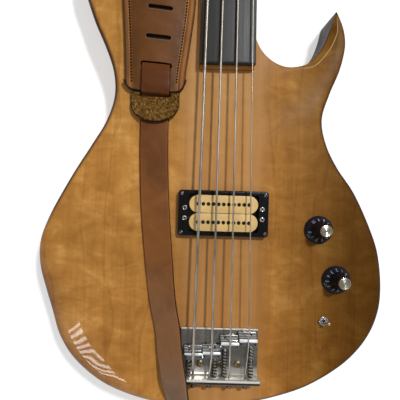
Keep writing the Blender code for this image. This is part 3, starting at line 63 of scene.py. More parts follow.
def lofted(rings):
    """Closed solid through rings of equal count: a grid round the rings and a flat face at each end."""
    rings = np.asarray(rings, float)
    count, around = rings.shape[:2]
    faces = quads(count, around, close_columns=True)
    faces.append(list(range(around - 1, -1, -1)))
    faces.append(list(range((count - 1) * around, count * around)))
    return rings.reshape(-1, 3), faces


def level(outline, z):
    """The flat outline at one height."""
    return np.column_stack([outline, np.full(len(outline), z)])


def smooth_line(points, steps):
    """Centripetal Catmull-Rom curve: each stretch blends the lines through its four nearest points, with
    knots spaced by the square root of the distance between points.
    """
    p = np.asarray(points, float)
    p = np.vstack([2 * p[0] - p[1], p, 2 * p[-1] - p[-2]])
    a, b, c, d = (p[i:len(p) - 3 + i, None] for i in range(4))
    t1 = np.sqrt(np.linalg.norm(b - a, axis=2, keepdims=True))
    t2 = t1 + np.sqrt(np.linalg.norm(c - b, axis=2, keepdims=True))
    t3 = t2 + np.sqrt(np.linalg.norm(d - c, axis=2, keepdims=True))
    t = t1 + (t2 - t1) * (np.arange(steps) / steps)[None, :, None]
    ab = (t1 - t) / t1 * a + t / t1 * b
    bc = (t2 - t) / (t2 - t1) * b + (t - t1) / (t2 - t1) * c
    cd = (t3 - t) / (t3 - t2) * c + (t - t2) / (t3 - t2) * d
    abc = (t2 - t) / t2 * ab + t / t2 * bc
    bcd = (t3 - t) / (t3 - t1) * bc + (t - t1) / (t3 - t1) * cd
    curve = (t2 - t) / (t2 - t1) * abc + (t - t1) / (t2 - t1) * bcd
    return np.vstack([curve.reshape(-1, p.shape[1]), p[-2]])


def spaced(line, count):
    """The line with count points at even distances along it."""
    run = np.concatenate([[0], np.cumsum(np.linalg.norm(np.diff(line[:, :3], axis=0), axis=1))])
    at = np.linspace(0, run[-1], count)
    return np.stack([np.interp(at, run, line[:, k]) for k in range(line.shape[1])], axis=1)


def inward(outline):
    """Unit vectors into a counter-clockwise outline: the edge's direction turned a quarter to the left."""
    run = np.roll(outline, -1, axis=0) - np.roll(outline, 1, axis=0)
    run /= np.linalg.norm(run, axis=1)[:, None]
    return np.stack([-run[:, 1], run[:, 0]], axis=1)


def ease(x, low, high):
    """Smooth step from 0 at low to 1 at high."""
    t = np.clip((np.asarray(x, float) - low) / (high - low), 0, 1)
    return t * t * (3 - 2 * t)


def circle(radius, sides, centre=(0, 0)):
    """Points at even angles round a centre."""
    a = np.arange(sides) * 2 * math.pi / sides
    return np.stack([centre[0] + radius * np.cos(a), centre[1] + radius * np.sin(a)], axis=1)


def round_rectangle(half_x, half_y, radius, steps=8, centre=(0, 0)):
    """Rectangle whose corners are quarter circles."""
    a = np.linspace(0, math.pi / 2, steps)
    quarter = np.stack([np.cos(a), np.sin(a)], axis=1) * radius
    corners = []
    for turn, sx, sy in ((-1, 1, -1), (0, 1, 1), (1, -1, 1), (2, -1, -1)):
        c, s = round(math.cos(turn * math.pi / 2)), round(math.sin(turn * math.pi / 2))
        middle = np.array([sx * (half_x - radius), sy * (half_y - radius)])
        corners.append(quarter @ np.array([[c, s], [-s, c]]) + middle)
    return np.vstack(corners) + np.asarray(centre)


def stadium(half_x, radius, steps=14, centre=(0, 0), turn=0.0):
    """Two half circles joined by straight sides."""
    a = np.linspace(-math.pi / 2, math.pi / 2, steps)
    right = np.stack([half_x - radius + radius * np.cos(a), radius * np.sin(a)], axis=1)
    c, s = math.cos(turn), math.sin(turn)
    return np.vstack([right, -right]) @ np.array([[c, s], [-s, c]]) + np.asarray(centre)


def prism(outline, low, high, ease_low=0.0, ease_high=0.0, steps=4):
    """Upright solid over an outline, its two edges rounded by quarter circles."""
    pull = inward(outline)
    a = np.linspace(0, math.pi / 2, steps)
    rings = []
    if ease_low:
        rings += [level(outline + pull * ease_low * (1 - math.sin(t)), low + ease_low * (1 - math.cos(t)))
                  for t in a]
    else:
        rings.append(level(outline, low))
    if ease_high:
        rings += [level(outline + pull * ease_high * (1 - math.cos(t)),
                        high - ease_high * (1 - math.sin(t))) for t in a]
    else:
        rings.append(level(outline, high))
    return lofted(rings)


def turned(profile, sides=40):
    """Solid of revolution about Z from (radius, height) pairs."""
    profile = np.asarray(profile, float)
    rings = [level(circle(max(r, 1e-5), sides), z) for r, z in profile]
    return lofted(rings)


def turned_tube(profile, bore, sides=40):
    """Solid of revolution with a straight bore, as one closed grid."""
    profile = list(profile) + [(bore, profile[-1][1]), (bore, profile[0][1])]
    rings = np.array([level(circle(r, sides), z) for r, z in profile])
    return rings.reshape(-1, 3), quads(len(profile), sides, True, True)


def rounded_profile(corners, radius, steps=4):
    """Profile whose inner corners are cut by short arcs, as quadratic curves from edge to edge."""
    p = np.asarray(corners, float)
    out = [p[0]]
    for before, here, after in zip(p[:-2], p[1:-1], p[2:]):
        a, b = before - here, after - here
        reach = min(radius, 0.45 * np.linalg.norm(a), 0.45 * np.linalg.norm(b))
        start, end = here + a / np.linalg.norm(a) * reach, here + b / np.linalg.norm(b) * reach
        t = np.linspace(0, 1, steps)[:, None]
        out += list((1 - t) ** 2 * start + 2 * t * (1 - t) * here + t ** 2 * end)
    out.append(p[-1])
    return np.array(out)


def along(shape, axis, at=(0, 0, 0)):
    """The shape with its Z turned to the named axis, then moved."""
    x, y, z = np.asarray(shape[0]).T
    turned_to = {"+Z": (x, y, z), "-Z": (x, -y, -z), "+X": (z, x, y), "-X": (-z, -x, y),
                 "+Y": (y, z, x), "-Y": (-y, -z, x)}
    return np.column_stack(turned_to[axis]) + np.asarray(at), shape[1]


def moved(shape, at):
    """The shape moved by a step."""
    return shape[0] + np.asarray(at), shape[1]


def joined(shapes):
    """Several separate solids as one shape."""
    starts = np.cumsum([0] + [len(v) for v, _ in shapes])
    faces = [[i + start for i in face] for (_, f), start in zip(shapes, starts) for face in f]
    return np.vstack([v for v, _ in shapes]), faces


def box(low, high):
    """Plain block between two corners."""
    (x0, y0, z0), (x1, y1, z1) = low, high
    outline = np.array([(x0, y0), (x1, y0), (x1, y1), (x0, y1)])
    return lofted([level(outline, z0), level(outline, z1)])


def tube(points, radius, sides=10):
    """Round tube along points: circles square to the path, carried along it without twist."""
    p = np.asarray(points, float)
    t = np.gradient(p, axis=0)
    t /= np.linalg.norm(t, axis=1)[:, None]
    side = np.cross(t[0], (0, 0, 1) if abs(t[0][2]) < 0.9 else (1, 0, 0))
    sides_of = []
    for tangent in t:
        side = side - tangent * (side @ tangent)
        side = side / np.linalg.norm(side)
        sides_of.append(side)
    s = np.array(sides_of)
    up = np.cross(t, s)
    a = np.arange(sides) * 2 * math.pi / sides
    radius = np.broadcast_to(radius, len(p))[:, None, None]
    ring = np.cos(a)[None, :, None] * s[:, None] + np.sin(a)[None, :, None] * up[:, None]
    return lofted(p[:, None] + radius * ring)


# Finishes


class Finish:
    """One material: its node tree is built by add(), which sets or links inputs by name."""

    made = {}

    def __init__(self, name, colour, roughness, metallic=0.0, **sockets):
        """One even surface: a colour, a roughness, a share of metal, and any further inputs by name."""
        self.material = bpy.data.materials.new(name)
        self.material.use_nodes = True
        self.tree = self.material.node_tree
        self.shader = self.tree.nodes["Principled BSDF"]
        self.where = self.add("ShaderNodeTexCoord").outputs["Object"]
        self.material.diffuse_color = (*colour, 1)
        self.set(**{"Base Color": (*colour, 1), "Roughness": roughness, "Metallic": metallic})
        self.set(**{key.replace("_", " "): value for key, value in sockets.items()})

    def set(self, **inputs):
        """Gives each named input of the surface its value."""
        for key, value in inputs.items():
            self.put(self.shader.inputs[key], value)

    def put(self, socket, value):
        """A link where the value comes from another node, else the number itself."""
        if isinstance(value, bpy.types.NodeSocket):
            self.tree.links.new(value, socket)
        else:
            socket.default_value = value

    def add(self, kind, inputs=None, **settings):
        """One more node, with its settings and its inputs."""
        node = self.tree.nodes.new(kind)
        for key, value in settings.items():
            setattr(node, key, value)
        for key, value in (inputs or {}).items():
            self.put(node.inputs[key], value)
        return node

    def stretched(self, scale, source=None, turn=0.0, at=(0, 0, 0)):
        """Coordinates scaled differently along each axis."""
        inputs = {"Vector": source or self.where, "Scale": scale, "Rotation": (0, 0, turn), "Location": at}
        return self.add("ShaderNodeMapping", inputs).outputs[0]

    def noise(self, vector, scale=1.0, detail=3.0, roughness=0.5, distortion=0.0):
        """Cloudy value from 0 to 1 at each point, finer with scale and more broken with detail."""
        inputs = {"Vector": vector, "Scale": scale, "Detail": detail, "Roughness": roughness,
                  "Distortion": distortion}
        return self.add("ShaderNodeTexNoise", inputs).outputs["Fac"]

    def ramp(self, value, stops, smooth=False):
        """Colour read off between stops (place, colour), along straight lines or eased ones."""
        node = self.add("ShaderNodeValToRGB", {"Fac": value})
        node.color_ramp.interpolation = "EASE" if smooth else "LINEAR"
        marks = node.color_ramp.elements
        while len(marks) < len(stops):
            marks.new(0.5)
        for mark, (place, colour) in zip(marks, stops):
            mark.position = place
            mark.color = (*colour, 1) if len(colour) == 3 else colour
        return node.outputs["Color"]

    def curve(self, value, low, high, to_low=0.0, to_high=1.0):
        """The value moved from one range to another, held at its ends."""
        inputs = {"Value": value, "From Min": low, "From Max": high, "To Min": to_low, "To Max": to_high}
        return self.add("ShaderNodeMapRange", inputs, clamp=True).outputs[0]

    def sum(self, a, b, way="ADD"):
        """a + b, or the two joined the way that is named."""
        node = self.add("ShaderNodeMath", operation=way)
        self.put(node.inputs[0], a)
        self.put(node.inputs[1], b)
        return node.outputs[0]

    def mixed(self, share, a, b, way="MIX"):
        """(1 - share) * a + share * b, or the way that is named."""
        node = self.add("ShaderNodeMix", data_type="RGBA", blend_type=way)
        for socket, value in zip((node.inputs[0], node.inputs[6], node.inputs[7]), (share, a, b)):
            if isinstance(value, tuple) and len(value) == 3:
                value = (*value, 1)
            self.put(socket, value)
        return node.outputs[2]

    def axis(self, name):
        """X, Y or Z of the point, in metres."""
        return self.add("ShaderNodeSeparateXYZ", {"Vector": self.where}).outputs[name]

    def bump(self, height, strength, distance):
        """Tilts the surface by the slope of the height, times strength and distance."""
        normal = self.add("ShaderNodeBump", {"Height": height, "Strength": strength, "Distance": distance})
        self.set(Normal=normal.outputs[0])
        return normal


def finish(name, make):
    """The finish of that name, made once."""
    if name not in Finish.made:
        made = make(name)
        Finish.made[name] = made.material
    return Finish.made[name]


def figured_maple(name, laminated_and_shaded=True):
    """Amber lacquered maple. Long fine grain, cloudy curl that crosses it and bright flecks are noises
    stretched along their own directions. On the body it is paler and straighter in its middle; a ramp over
    X paints shade that darkens it toward the treble side, a ramp over Y makes it lighter toward the tail and
    the neck than across the middle, ramps over Z paint shade on the sides and over the rounded edge, milder
    on the forearm bevel, and UV marks paint shade on the treble horn's inner wall and a highlight line along
    the ridge of its bevel.
    """
    f = Finish(name, (0.42, 0.2, 0.05), 0.34, Coat_Weight=0.42, Coat_Roughness=0.05)
    f.set(**{"Coat IOR": 1.45, "Specular IOR Level": 0.05})
    fine = f.noise(f.stretched((420, 14, 420)), detail=4, roughness=0.6)
    broad = f.noise(f.stretched((34, 7, 34)), detail=3, roughness=0.55, distortion=0.4)
    cloud = f.noise(f.stretched((16, 21, 16), turn=0.7), detail=5, roughness=0.62, distortion=1.6)
    curl = f.noise(f.stretched((34, 66, 34), turn=0.75), detail=4, roughness=0.6, distortion=1.4)
    tone = f.sum(f.sum(broad, 0.28, "MULTIPLY"), f.sum(cloud, 0.4, "MULTIPLY"))
    tone = f.sum(tone, f.sum(curl, 0.32, "MULTIPLY"))
    colour = f.ramp(tone, [(0.37, (0.33, 0.14, 0.026)), (0.46, (0.41, 0.182, 0.038)),
                           (0.54, (0.48, 0.225, 0.052)), (0.63, (0.6, 0.31, 0.09))])
    colour = f.mixed(0.4, colour, f.ramp(fine, [(0.3, (0.74, 0.72, 0.7)), (0.7, (1.1, 1.1, 1.1))]),
                     "MULTIPLY")
    growth = f.add("ShaderNodeTexWave", {"Vector": f.stretched((1, 0.16, 1), turn=0.06), "Scale": 9.0,
                                         "Distortion": 7.0, "Detail": 2.0, "Detail Scale": 2.6},
                   bands_direction="X", wave_profile="SAW")
    line = f.curve(growth.outputs["Fac"], 0.9, 1.0)
    colour = f.mixed(f.sum(line, 0.4, "MULTIPLY"), colour, (0.6, 0.5, 0.36), "MULTIPLY")
    fleck = f.add("ShaderNodeTexVoronoi", {"Vector": f.stretched((210, 330, 210), turn=0.9), "Scale": 1.0})
    spot = f.curve(fleck.outputs["Distance"], 0.2, 0.05)
    patch = f.curve(f.noise(f.stretched((19, 15, 19), at=(3, 1, 0)), detail=2), 0.54, 0.62)
    spot = f.sum(spot, patch, "MULTIPLY")
    colour = f.mixed(f.sum(spot, 0.4, "MULTIPLY"), colour, (0.74, 0.46, 0.17))
    if laminated_and_shaded:
        x, y, z = f.axis("X"), f.axis("Y"), f.axis("Z")
        middle = f.sum(f.curve(x, -0.05, -0.036), f.curve(x, 0.034, 0.05), "SUBTRACT")
        straight = f.noise(f.stretched((95, 3.0, 95)), detail=3, roughness=0.6)
        lamina = f.ramp(straight, [(0.32, (0.37, 0.175, 0.055)), (0.5, (0.43, 0.215, 0.078)),
                                   (0.68, (0.5, 0.265, 0.105))])
        colour = f.mixed(f.sum(middle, 0.75, "MULTIPLY"), colour, lamina)
        # Painted shade: the maple darkens toward the treble side, most of it past X = 40 mm.
        across = f.ramp(f.curve(x, -0.2, 0.2), [
            (0.0, (0.94, 0.92, 0.88)), (0.3, (1, 1, 1)), (0.55, (1, 1, 1)), (0.62, (0.84, 0.81, 0.76)),
            (0.68, (0.64, 0.61, 0.54)), (0.73, (0.48, 0.45, 0.37)), (0.78, (0.33, 0.3, 0.21)),
            (0.83, (0.23, 0.2, 0.12)), (0.9, (0.19, 0.165, 0.09))], smooth=True)
        colour = f.mixed(1.0, colour, f.mixed(1.0, across, (0.9, 0.9, 0.89), "MULTIPLY"), "MULTIPLY")
        lengthways = f.ramp(f.curve(y, -0.08, 0.24), [
            (0.0, (1.2, 1.15, 1.05)), (0.3, (1.12, 1.08, 1.0)), (0.55, (1.06, 1.04, 0.98)),
            (0.75, (1.2, 1.2, 1.18)), (1.0, (1.16, 1.2, 1.22))], smooth=True)
        colour = f.mixed(1.0, colour, lengthways, "MULTIPLY")
        arm = f.sum(f.curve(x, -0.05, -0.07), f.curve(y, 0.125, 0.095), "MULTIPLY")
        # Painted shade: the sides are darker than the face, and a darker band runs round the upper part of
        # the rounded edge.
        rim = f.ramp(f.curve(z, 0.032, 0.042), [
            (0.0, (0.78, 0.74, 0.66)), (0.25, (0.5, 0.45, 0.36)), (0.4, (0.1, 0.07, 0.045)),
            (0.8, (0.12, 0.085, 0.055)),
            (0.88, (0.3, 0.24, 0.17)), (0.94, (0.66, 0.6, 0.5)), (0.98, (0.93, 0.91, 0.88)),
            (1.0, (1, 1, 1))])
        # Where the forearm rests, a milder painted shade over its wide bevel takes the place of the one
        # above.
        forearm_shade = f.ramp(f.curve(z, 0.031, 0.0419), [
            (0.0, (0.3, 0.24, 0.18)), (0.25, (0.5, 0.43, 0.34)), (0.75, (0.9, 0.88, 0.84)),
            (1.0, (1, 1, 1))], smooth=True)
        rim = f.mixed(arm, rim, forearm_shade)
        marks = f.add("ShaderNodeSeparateXYZ", {"Vector": f.add("ShaderNodeTexCoord").outputs["UV"]}).outputs
        # On the treble horn's inner bevel, which UV X marks, the painted edge shade is lifted and the colour
        # made a little yellower.
        bevel = f.sum(f.curve(marks["X"], 0.52, 0.58), f.curve(z, 0.0364, 0.0376), "MULTIPLY")
        rim = f.mixed(bevel, rim, (1.0, 1.0, 0.86))
        colour = f.mixed(1.0, colour, rim, "MULTIPLY")
        # Painted shade: the treble horn's inner wall, which UV X marks, is near-black.
        horn_wall_shade = f.curve(marks["X"], 0.7, 0.95)
        # Painted highlight: a pale line along the ridge of the treble horn's bevel, which UV Y marks.
        colour = f.mixed(f.sum(marks["Y"], 0.75, "MULTIPLY"), colour, (0.62, 0.45, 0.24))
        colour = f.mixed(horn_wall_shade, colour, (0.018, 0.008, 0.006))
        gloss = f.sum(f.curve(marks["X"], 0.0, 0.35, 1.0, 0.0), f.curve(x, 0.05, 0.09, 1.0, 0.06), "MULTIPLY")
        upper = f.sum(f.curve(y, 0.235, 0.258), f.curve(x, 0.0, 0.03), "MULTIPLY")
        gloss = f.sum(gloss, f.sum(1.0, upper, "SUBTRACT"), "MULTIPLY")
        round_part = f.ramp(f.curve(z, 0.032, 0.0419), [
            (0.0, (1, 1, 1)), (0.4, (0.1, 0.1, 0.1)), (0.85, (0.1, 0.1, 0.1)), (0.94, (1, 1, 1))])
        gloss = f.sum(gloss, f.sum(arm, round_part, "MAXIMUM"), "MULTIPLY")
        f.set(**{"Coat Weight": f.sum(gloss, 0.6, "MULTIPLY")})
    f.set(**{"Base Color": colour})
    f.set(Roughness=f.curve(fine, 0.2, 0.8, 0.3, 0.44))
    return f


def ebony(name):
    """Near-black oiled board: faint grey streaks along its length."""
    f = Finish(name, (0.03, 0.032, 0.03), 0.42)
    f.set(**{"Specular IOR Level": 0.22})
    streak = f.noise(f.stretched((600, 9, 600)), detail=5, roughness=0.65)
    f.set(**{"Base Color": f.ramp(streak, [(0.3, (0.009, 0.0095, 0.009)), (0.55, (0.019, 0.02, 0.018)),
                                           (0.75, (0.038, 0.039, 0.034))])})
    f.set(Roughness=f.curve(streak, 0.3, 0.7, 0.36, 0.5))
    f.bump(streak, 0.12, 0.0004)
    return f


def metal(name, colour=(0.72, 0.71, 0.69), rough=0.16, wear=0.1, scale=160):
    """Plated metal: small changes of roughness and faint scratches."""
    f = Finish(name, colour, rough, 1.0)
    mottle = f.noise(f.stretched((scale, scale, scale)), detail=2, roughness=0.5)
    scratch = f.noise(f.stretched((90, 2400, 900), turn=0.4), detail=2)
    dull = f.sum(f.curve(mottle, 0.35, 0.7, 0, wear), f.curve(scratch, 0.6, 0.75, 0, wear * 0.3))
    f.set(Roughness=f.sum(dull, rough))
    low = tuple(0.88 * c for c in colour)
    f.set(**{"Base Color": f.ramp(mottle, [(0.3, low), (0.65, colour)])})
    return f


def moulded(name, colour, rough, grain=420, depth=0.05, shine=0.25):
    """Moulded plastic: a fine even grain and a slight change of shade."""
    f = Finish(name, colour, rough)
    f.set(**{"Specular IOR Level": shine})
    shade = f.noise(f.stretched((60, 60, 60)), detail=3)
    skin = f.noise(f.stretched((grain * 4, grain * 4, grain * 4)), detail=2)
    low, high = tuple(0.86 * c for c in colour), tuple(min(1.0, 1.1 * c) for c in colour)
    f.set(**{"Base Color": f.ramp(shade, [(0.3, low), (0.7, high)])})
    f.set(Roughness=f.curve(shade, 0.3, 0.7, rough * 0.85, rough * 1.2))
    f.bump(skin, depth, 0.0003)
    return f


def hide(name, colour=(0.15, 0.062, 0.018), rough=0.46, worn=(0.26, 0.12, 0.045), bands=None, lengths=None):
    """Waxed leather: pebbled grain, soft blotches and paler rubbed patches. Bands tint it by the distance
    from the strip's middle or edge, in mm, which the first UV coordinate holds, and lengths tint it by Y.
    On the pad and the tail some of the bands are painted highlight and painted shade.
    """
    f = Finish(name, colour, rough, Coat_Weight=0.03, Coat_Roughness=0.3)
    f.set(**{"Specular IOR Level": 0.1})
    pebble = f.add("ShaderNodeTexVoronoi", {"Vector": f.where, "Scale": 1150.0}, feature="SMOOTH_F1")
    crease = f.noise(f.stretched((240, 240, 240)), detail=5, roughness=0.65)
    blotch = f.noise(f.stretched((28, 20, 28)), detail=4, roughness=0.6, distortion=0.6)
    dark = tuple(0.7 * c for c in colour)
    shade = f.ramp(blotch, [(0.28, dark), (0.52, colour), (0.78, tuple(1.3 * c for c in colour))])
    rubbed = f.curve(f.noise(f.stretched((16, 60, 16), at=(0, 2, 1)), detail=5, roughness=0.7), 0.6, 0.8,
                     0, 0.4)
    shade = f.mixed(rubbed, shade, worn)
    if bands:
        across = f.add("ShaderNodeSeparateXYZ",
                       {"Vector": f.add("ShaderNodeTexCoord").outputs["UV"]}).outputs["X"]
        place = f.curve(f.sum(across, 0.0, "ABSOLUTE"), 0.0, bands[0] * MM)
        shade = f.mixed(1.0, shade, f.ramp(place, [(at / bands[0], tint) for at, tint in bands[1]]),
                        "MULTIPLY")
    if lengths:
        low, high = lengths[0][0], lengths[-1][0]
        place = f.curve(f.axis("Y"), low * MM, high * MM)
        stops = [((at - low) / (high - low), tint) for at, tint in lengths]
        shade = f.mixed(1.0, shade, f.ramp(place, stops, smooth=True), "MULTIPLY")
    f.set(**{"Base Color": shade})
    f.set(Roughness=f.curve(crease, 0.3, 0.7, rough - 0.06, rough + 0.12))
    height = f.sum(f.sum(pebble.outputs["Distance"], 0.5, "MULTIPLY"), crease)
    f.bump(height, 0.25, 0.0005)
    return f


def raw_suede(name):
    """Rough split leather: clumped nap in tan and olive, with a soft sheen."""
    f = Finish(name, (0.2, 0.11, 0.03), 0.95, Sheen_Weight=0.03, Sheen_Roughness=0.6)
    f.set(**{"Specular IOR Level": 0.03})
    nap = f.noise(f.stretched((900, 900, 900)), detail=5, roughness=0.75, distortion=0.5)
    clump = f.noise(f.stretched((420, 330, 420)), detail=4, roughness=0.7)
    both = f.sum(f.sum(nap, 0.55, "MULTIPLY"), f.sum(clump, 0.45, "MULTIPLY"))
    colour = f.ramp(both, [(0.4, (0.022, 0.01, 0.003)), (0.47, (0.085, 0.04, 0.008)),
                           (0.53, (0.17, 0.084, 0.018)), (0.62, (0.36, 0.2, 0.055))])
    rim = f.add("ShaderNodeSeparateXYZ", {"Vector": f.add("ShaderNodeTexCoord").outputs["UV"]}).outputs["X"]
    colour = f.mixed(1.0, colour, f.ramp(f.curve(rim, 0.0, 3.0 * MM), [
        (0.0, (0.12, 0.1, 0.1)), (0.22, (0.3, 0.27, 0.25)), (0.4, (1, 1, 1))]), "MULTIPLY")
    f.set(**{"Base Color": colour})
    f.bump(both, 0.9, 0.0016)
    return f


def thread(name, colour=(0.014, 0.006, 0.003)):
    """Waxed sewing thread: dark, with a fine lay."""
    f = Finish(name, colour, 0.8)
    f.set(**{"Specular IOR Level": 0.02})
    lay = f.noise(f.stretched((2600, 2600, 2600)), detail=2)
    f.set(**{"Base Color": f.ramp(lay, [(0.3, tuple(0.6 * c for c in colour)),
                                        (0.7, tuple(1.6 * c for c in colour))])})
    return f


def wound_steel(name, pitch):
    """Round-wound string: fine ridges across it, from a wave along its length."""
    f = Finish(name, (0.24, 0.21, 0.18), 0.45, 1.0)
    turns = f.add("ShaderNodeTexWave", {"Vector": f.where, "Scale": 0.31416 / pitch, "Distortion": 0.0},
                  bands_direction="Y")
    tarnish = f.noise(f.stretched((60, 25, 60)), detail=4, roughness=0.6)
    f.set(**{"Base Color": f.ramp(tarnish, [(0.3, (0.22, 0.19, 0.155)), (0.6, (0.38, 0.345, 0.3))])})
    f.set(Roughness=f.curve(tarnish, 0.3, 0.7, 0.36, 0.5))
    f.bump(turns.outputs["Fac"], 0.14, 0.0001)
    return f


def bone(name):
    """Polished bone: warm white with faint streaks."""
    f = Finish(name, (0.78, 0.73, 0.6), 0.32)
    streak = f.noise(f.stretched((150, 900, 150)), detail=4)
    f.set(**{"Base Color": f.ramp(streak, [(0.3, (0.66, 0.6, 0.46)), (0.7, (0.84, 0.8, 0.68))])})
    return f


def paint(name, colour, rough=0.5):
    """Flat paint or print, slightly uneven."""
    f = Finish(name, colour, rough)
    patch = f.noise(f.stretched((700, 700, 700)), detail=3)
    low = tuple(0.75 * c for c in colour)
    f.set(**{"Base Color": f.ramp(patch, [(0.35, low), (0.6, colour)])})
    return f


def named(name):
    """Every finish of the bass by its name."""
    makers = {
        "maple_body": lambda n: figured_maple(n),
        "maple_neck": lambda n: figured_maple(n, laminated_and_shaded=False),
        "ebony_board": ebony,
        "bone_nut": bone,
        "chrome": lambda n: metal(n, rough=0.13, wear=0.12),
        "bridge_metal": bridge_metal,
        "saddle_metal": saddle_metal,
        "screw_metal": lambda n: metal(n, (0.62, 0.6, 0.56), 0.24, 0.15, 500),
        "spring_wire": lambda n: moulded(n, (0.014, 0.012, 0.01), 0.4, 300, 0.02, 0.35),
        "brass_screw": lambda n: metal(n, (0.27, 0.2, 0.12), 0.38, 0.1, 300),
        "dark_metal": lambda n: metal(n, (0.1, 0.095, 0.09), 0.34, 0.1, 400),
        "black_screw": lambda n: metal(n, (0.16, 0.16, 0.165), 0.22, 0.1, 500),
        "cap_metal": lambda n: metal(n, (0.5, 0.48, 0.38), 0.24, 0.06, 200),
        "black_ring": lambda n: moulded(n, (0.007, 0.006, 0.006), 0.24, 300, 0.05, 0.14),
        "black_knob": lambda n: moulded(n, (0.006, 0.006, 0.011), 0.2, 500, 0.02, 0.1),
        "black_cover": lambda n: moulded(n, (0.02, 0.02, 0.021), 0.42, 200, 0.12),
        "cream_bobbin": lambda n: moulded(n, (0.66, 0.44, 0.17), 0.34, 300, 0.03, 0.3),
        "hole_shade_black": lambda n: moulded(n, (0.006, 0.006, 0.006), 0.5, 300),
        # Pad bands by the distance in from the edge, in mm. The lighter rolls up to 5.7 mm are partly the
        # leather's own tan and partly painted highlight. The darkest outer band is painted shade on the
        # rolls' sides. The dark line at 6.1 mm is painted shade in the step down to the panel, and the bright
        # line at 6.5 mm is a painted highlight on the panel's edge.
        "pad_leather": lambda n: hide(n, bands=(20, [
            (0.0, (0.5, 0.45, 0.38)), (1.6, (1.2, 1.15, 0.95)), (3.8, (2.1, 2.05, 1.7)),
            (5.7, (1.3, 1.25, 1.0)),
            (6.1, (0.35, 0.3, 0.25)), (6.5, (2.9, 2.8, 2.4)), (7.0, (1.2, 1.12, 0.9)),
            (8.6, (1.2, 1.1, 0.85)), (9.8, (0.68, 0.6, 0.45)), (20.0, (0.84, 0.72, 0.5))])),
        # Tail bands: the dark outermost band is the leather's edge paint, and the lighter line just inside it
        # is a painted highlight along the eased edge.
        "tail_leather": lambda n: hide(n, (0.175, 0.066, 0.021), 0.4, (0.27, 0.12, 0.055), bands=(14.3, [
            (0.0, (1, 1, 1)), (12.2, (1, 1, 1)), (12.9, (1.25, 1.25, 1.25)), (13.4, (0.9, 0.85, 0.8)),
            (13.8, (0.16, 0.14, 0.13)), (14.3, (0.1, 0.1, 0.1))]), lengths=(
                (-60, (1.3, 1.95, 3.4)), (0, (1.2, 1.4, 1.7)), (100, (1.08, 1.04, 0.8)),
                (225, (0.85, 0.75, 0.55)), (245, (0.54, 0.38, 0.18)), (300, (0.54, 0.38, 0.18)))),
        "worn_edge": lambda n: hide(n, (0.22, 0.125, 0.065), 0.6, (0.34, 0.22, 0.14)),
        "edge_paint_and_slot_shade": lambda n: hide(n, (0.012, 0.007, 0.006), 0.5, (0.03, 0.018, 0.012)),
        "flap_suede": raw_suede,
        "strap_thread": thread,
        "dial_white": lambda n: paint(n, (0.26, 0.28, 0.33)),
        "index_red": lambda n: paint(n, (0.16, 0.02, 0.012)),
        "string_heavy": lambda n: wound_steel(n, 0.0011),
        "string_light": lambda n: wound_steel(n, 0.0008),
    }
    return finish(name, makers[name])


# Pieces


def shaded(mesh, sharp):
    """Outward faces, smooth, with creases past the angle."""
    work = bmesh.new()
    work.from_mesh(mesh)
    bmesh.ops.remove_doubles(work, verts=work.verts, dist=1e-7)
    bmesh.ops.recalc_face_normals(work, faces=work.faces)
    work.to_mesh(mesh)
    work.free()
    mesh.shade_smooth()
    mesh.set_sharp_from_angle(angle=math.radians(sharp))


def piece(name, shape, look, body="bass", instead=(), sharp=32, cuts=(), unions=(), uv=None,
          crossing=False):
    """A finished piece: its mesh, its cuts, its finish, the body that it rides
    and the nodes that it replaces.
    """
    mesh = bpy.data.meshes.new(name)
    mesh.from_pydata(np.asarray(shape[0], float).tolist(), [], [list(f) for f in shape[1]])
    if uv is not None:
        loops = np.zeros(len(mesh.loops), np.int32)
        mesh.loops.foreach_get("vertex_index", loops)
        mesh.uv_layers.new(name="UVMap").data.foreach_set("uv", np.asarray(uv, np.float32)[loops].ravel())
    shaded(mesh, sharp)
    thing = bpy.data.objects.new(name, mesh)
    bpy.context.scene.collection.objects.link(thing)
    for operation, shapes in (("UNION", unions), ("DIFFERENCE", cuts)):
        if shapes:
            carve(thing, joined(list(shapes)), operation, crossing)
            shaded(thing.data, sharp)
    thing.data.materials.clear()
    thing.data.materials.append(named(look))
    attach(thing, body)
    if instead:
        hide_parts(*instead)
    return thing


def carve(thing, shape, operation, crossing=False):
    """Joins the shape to the piece or takes it away, and keeps the outcome as the piece's mesh. Shapes
    that cross one another are merged first.
    """
    mesh = bpy.data.meshes.new("tool")
    mesh.from_pydata(np.asarray(shape[0], float).tolist(), [], [list(f) for f in shape[1]])
    shaded(mesh, 30)
    tool = bpy.data.objects.new("tool", mesh)
    bpy.context.scene.collection.objects.link(tool)
    change = thing.modifiers.new("carve", "BOOLEAN")
    change.object = tool
    change.operation = operation
    change.solver = "EXACT"
    change.use_self = crossing or operation == "UNION"
    bpy.context.view_layer.update()
    result = bpy.data.meshes.new_from_object(thing.evaluated_get(bpy.context.evaluated_depsgraph_get()))
    thing.modifiers.clear()
    thing.data = result
    result.name = thing.name
    bpy.data.objects.remove(tool)


def dress(node, look):
    """A CAD piece that keeps its shape and takes a finish."""
    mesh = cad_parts[node].data
    mesh.materials.clear()
    mesh.materials.append(named(look))


# Levels and places of the bass, in metres

